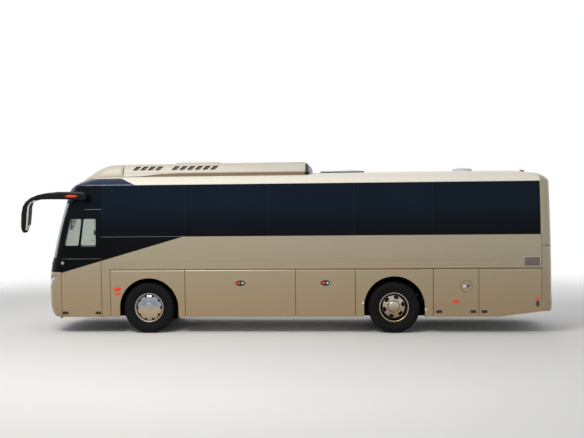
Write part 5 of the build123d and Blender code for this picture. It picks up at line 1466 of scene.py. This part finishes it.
setPad(bm, swollenPad((0.440, 0.450, 0.085), 0.016), (-1.095, -0.650, 1.228), (1, 0, -0.03), (0.03, 0, 1))
setPad(bm, swollenPad((0.660, 0.440, 0.075), 0.018), (-0.760, -0.650, 1.675), (-0.095, 0, -0.72), (-0.72, 0, 0.095))
addPiece("driver_cushions", bm, [seatCloth], slot="seat_fabric", nodes=("driver_seat",), sharp=60)
bm = bmesh.new()
boxAt(bm, (-1.180, -0.790, 0.910), (-0.920, -0.510, 1.140), 0.02)
boxAt(bm, (-1.270, -0.850, 1.140), (-0.880, -0.450, 1.215), 0.02)
addPiece("driver_seat_base", tidyMesh(bm), [blackPlastic], slot="black_plastic")
print("seats made")

# Materials of the CAD nodes that stay
kept = {"chassis": frameSteel, "floor_deck": floorVinyl, "entry_steps": floorVinyl, "luggage_hold": innerTrim,
        "wheel_arches": linerBlack, "window_pillars": blackPlastic, "hatch_curb": blackPlastic,
        "door_arm": frameSteel, "engine": engineIron, "front_axle": frameSteel, "rear_axle": frameSteel,
        "knuckle_left": frameSteel, "knuckle_right": frameSteel, "luggage_racks": innerTrim,
        "dashboard": blackPlastic, "steering_wheel": blackPlastic, "rim_front_left": rimShade,
        "rim_front_right": rimShade, "rims_rear_left": rimShade, "rims_rear_right": rimShade}
for name, material in kept.items():
    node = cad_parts[name]
    node.data.materials.clear()
    node.data.materials.append(material)
print("kept nodes dressed")

# Stage, light and camera: the floor fades out into the white world
bm = bmesh.new()
boxAt(bm, (-60, -60, -0.2), (60, 60, 0))
floorPaint = finish("studio floor", rgb(226, 225, 222), 0.8, spread=0.01, spreadScale=0.5, grain=(30.0, 0.05, 0.001))
nodes, links = floorPaint.node_tree.nodes, floorPaint.node_tree.links
where, reach = nodes.new("ShaderNodeTexCoord"), nodes.new("ShaderNodeVectorMath")
reach.operation = "LENGTH"
links.new(where.outputs["Object"], reach.inputs[0])
fade = nodes.new("ShaderNodeMapRange")
fade.interpolation_type = "SMOOTHSTEP"
fade.inputs["From Min"].default_value, fade.inputs["From Max"].default_value = 6.5, 17.0
links.new(reach.outputs["Value"], fade.inputs["Value"])
clear, faded = nodes.new("ShaderNodeBsdfTransparent"), nodes.new("ShaderNodeMixShader")
links.new(fade.outputs["Result"], faded.inputs[0])
links.new(nodes["Principled BSDF"].outputs[0], faded.inputs[1])
links.new(clear.outputs[0], faded.inputs[2])
links.new(faded.outputs[0], nodes["Material Output"].inputs["Surface"])
mesh = bpy.data.meshes.new("floor")
bm.to_mesh(mesh)
bm.free()
mesh.materials.append(floorPaint)
floor = bpy.data.objects.new("floor", mesh)
scene.collection.objects.link(floor)

# rays that see the world straight, mirrored or through glass find it white, and the rest take the room's light
world = bpy.data.worlds.new("studio")
scene.world = world
world.use_nodes = True
nodes, links = world.node_tree.nodes, world.node_tree.links
room = nodes["Background"]
room.inputs["Color"].default_value = (0.93, 0.95, 1.0, 1)
room.inputs["Strength"].default_value = 0.48
white = nodes.new("ShaderNodeBackground")
white.inputs["Color"].default_value = (1, 1, 1, 1)
rays = nodes.new("ShaderNodeLightPath")
seen = nodes.new("ShaderNodeMath")
seen.operation = "MAXIMUM"
links.new(rays.outputs["Is Camera Ray"], seen.inputs[0])
links.new(rays.outputs["Is Glossy Ray"], seen.inputs[1])
either = nodes.new("ShaderNodeMath")
either.operation = "MAXIMUM"
links.new(seen.outputs[0], either.inputs[0])
links.new(rays.outputs["Is Transmission Ray"], either.inputs[1])
mixed = nodes.new("ShaderNodeMixShader")
links.new(either.outputs[0], mixed.inputs[0])
links.new(room.outputs[0], mixed.inputs[1])
links.new(white.outputs[0], mixed.inputs[2])
links.new(mixed.outputs[0], nodes["World Output"].inputs["Surface"])

lights = [dict(name="key", at=(-5.0, -9.5, 11.0), size=(8, 5), energy=1230.0, warmth=(1.0, 0.98, 0.94)),
          dict(name="fill", at=(6.0, -14.0, 4.0), size=(9, 4), energy=150.0, warmth=(0.95, 0.97, 1.0)),
          dict(name="back", at=(2.0, 11.0, 8.0), size=(10, 5), energy=500.0, warmth=(1.0, 1.0, 1.0))]
for light in lights:
    lamp = bpy.data.lights.new(light["name"], "AREA")
    lamp.shape = "RECTANGLE"
    lamp.size, lamp.size_y = light["size"]
    lamp.energy = light["energy"]
    lamp.color = light["warmth"]
    holder = bpy.data.objects.new(light["name"], lamp)
    holder.location = light["at"]
    holder.visible_glossy = light["name"] == "key"
    holder.rotation_euler = (Vector((0, 0, 1.4)) - Vector(light["at"])).to_track_quat("-Z", "Y").to_euler()
    scene.collection.objects.link(holder)

view = dict(at=(1.2867, -17.8307, 2.4524), yaw=-0.0686, pitch=-0.0123, roll=-0.0094, focal=850.0, width=584.0)
lens = bpy.data.cameras.new("camera")
lens.sensor_width = 36.0
lens.lens = view["focal"] / view["width"] * 36.0
lens.clip_end = 500.0
camera = bpy.data.objects.new("camera", lens)
ahead = Vector((sin(view["yaw"]) * cos(view["pitch"]), cos(view["yaw"]) * cos(view["pitch"]), sin(view["pitch"])))
level = Vector((cos(view["yaw"]), -sin(view["yaw"]), 0))
above = level.cross(ahead)
right = level * cos(view["roll"]) + above * sin(view["roll"])
upward = above * cos(view["roll"]) - level * sin(view["roll"])
turn = Matrix((right, upward, -ahead)).transposed()
camera.matrix_world = Matrix.Translation(view["at"]) @ turn.to_4x4()
scene.collection.objects.link(camera)
scene.camera = camera
scene.view_settings.view_transform = "Standard"
print("stage and camera made")
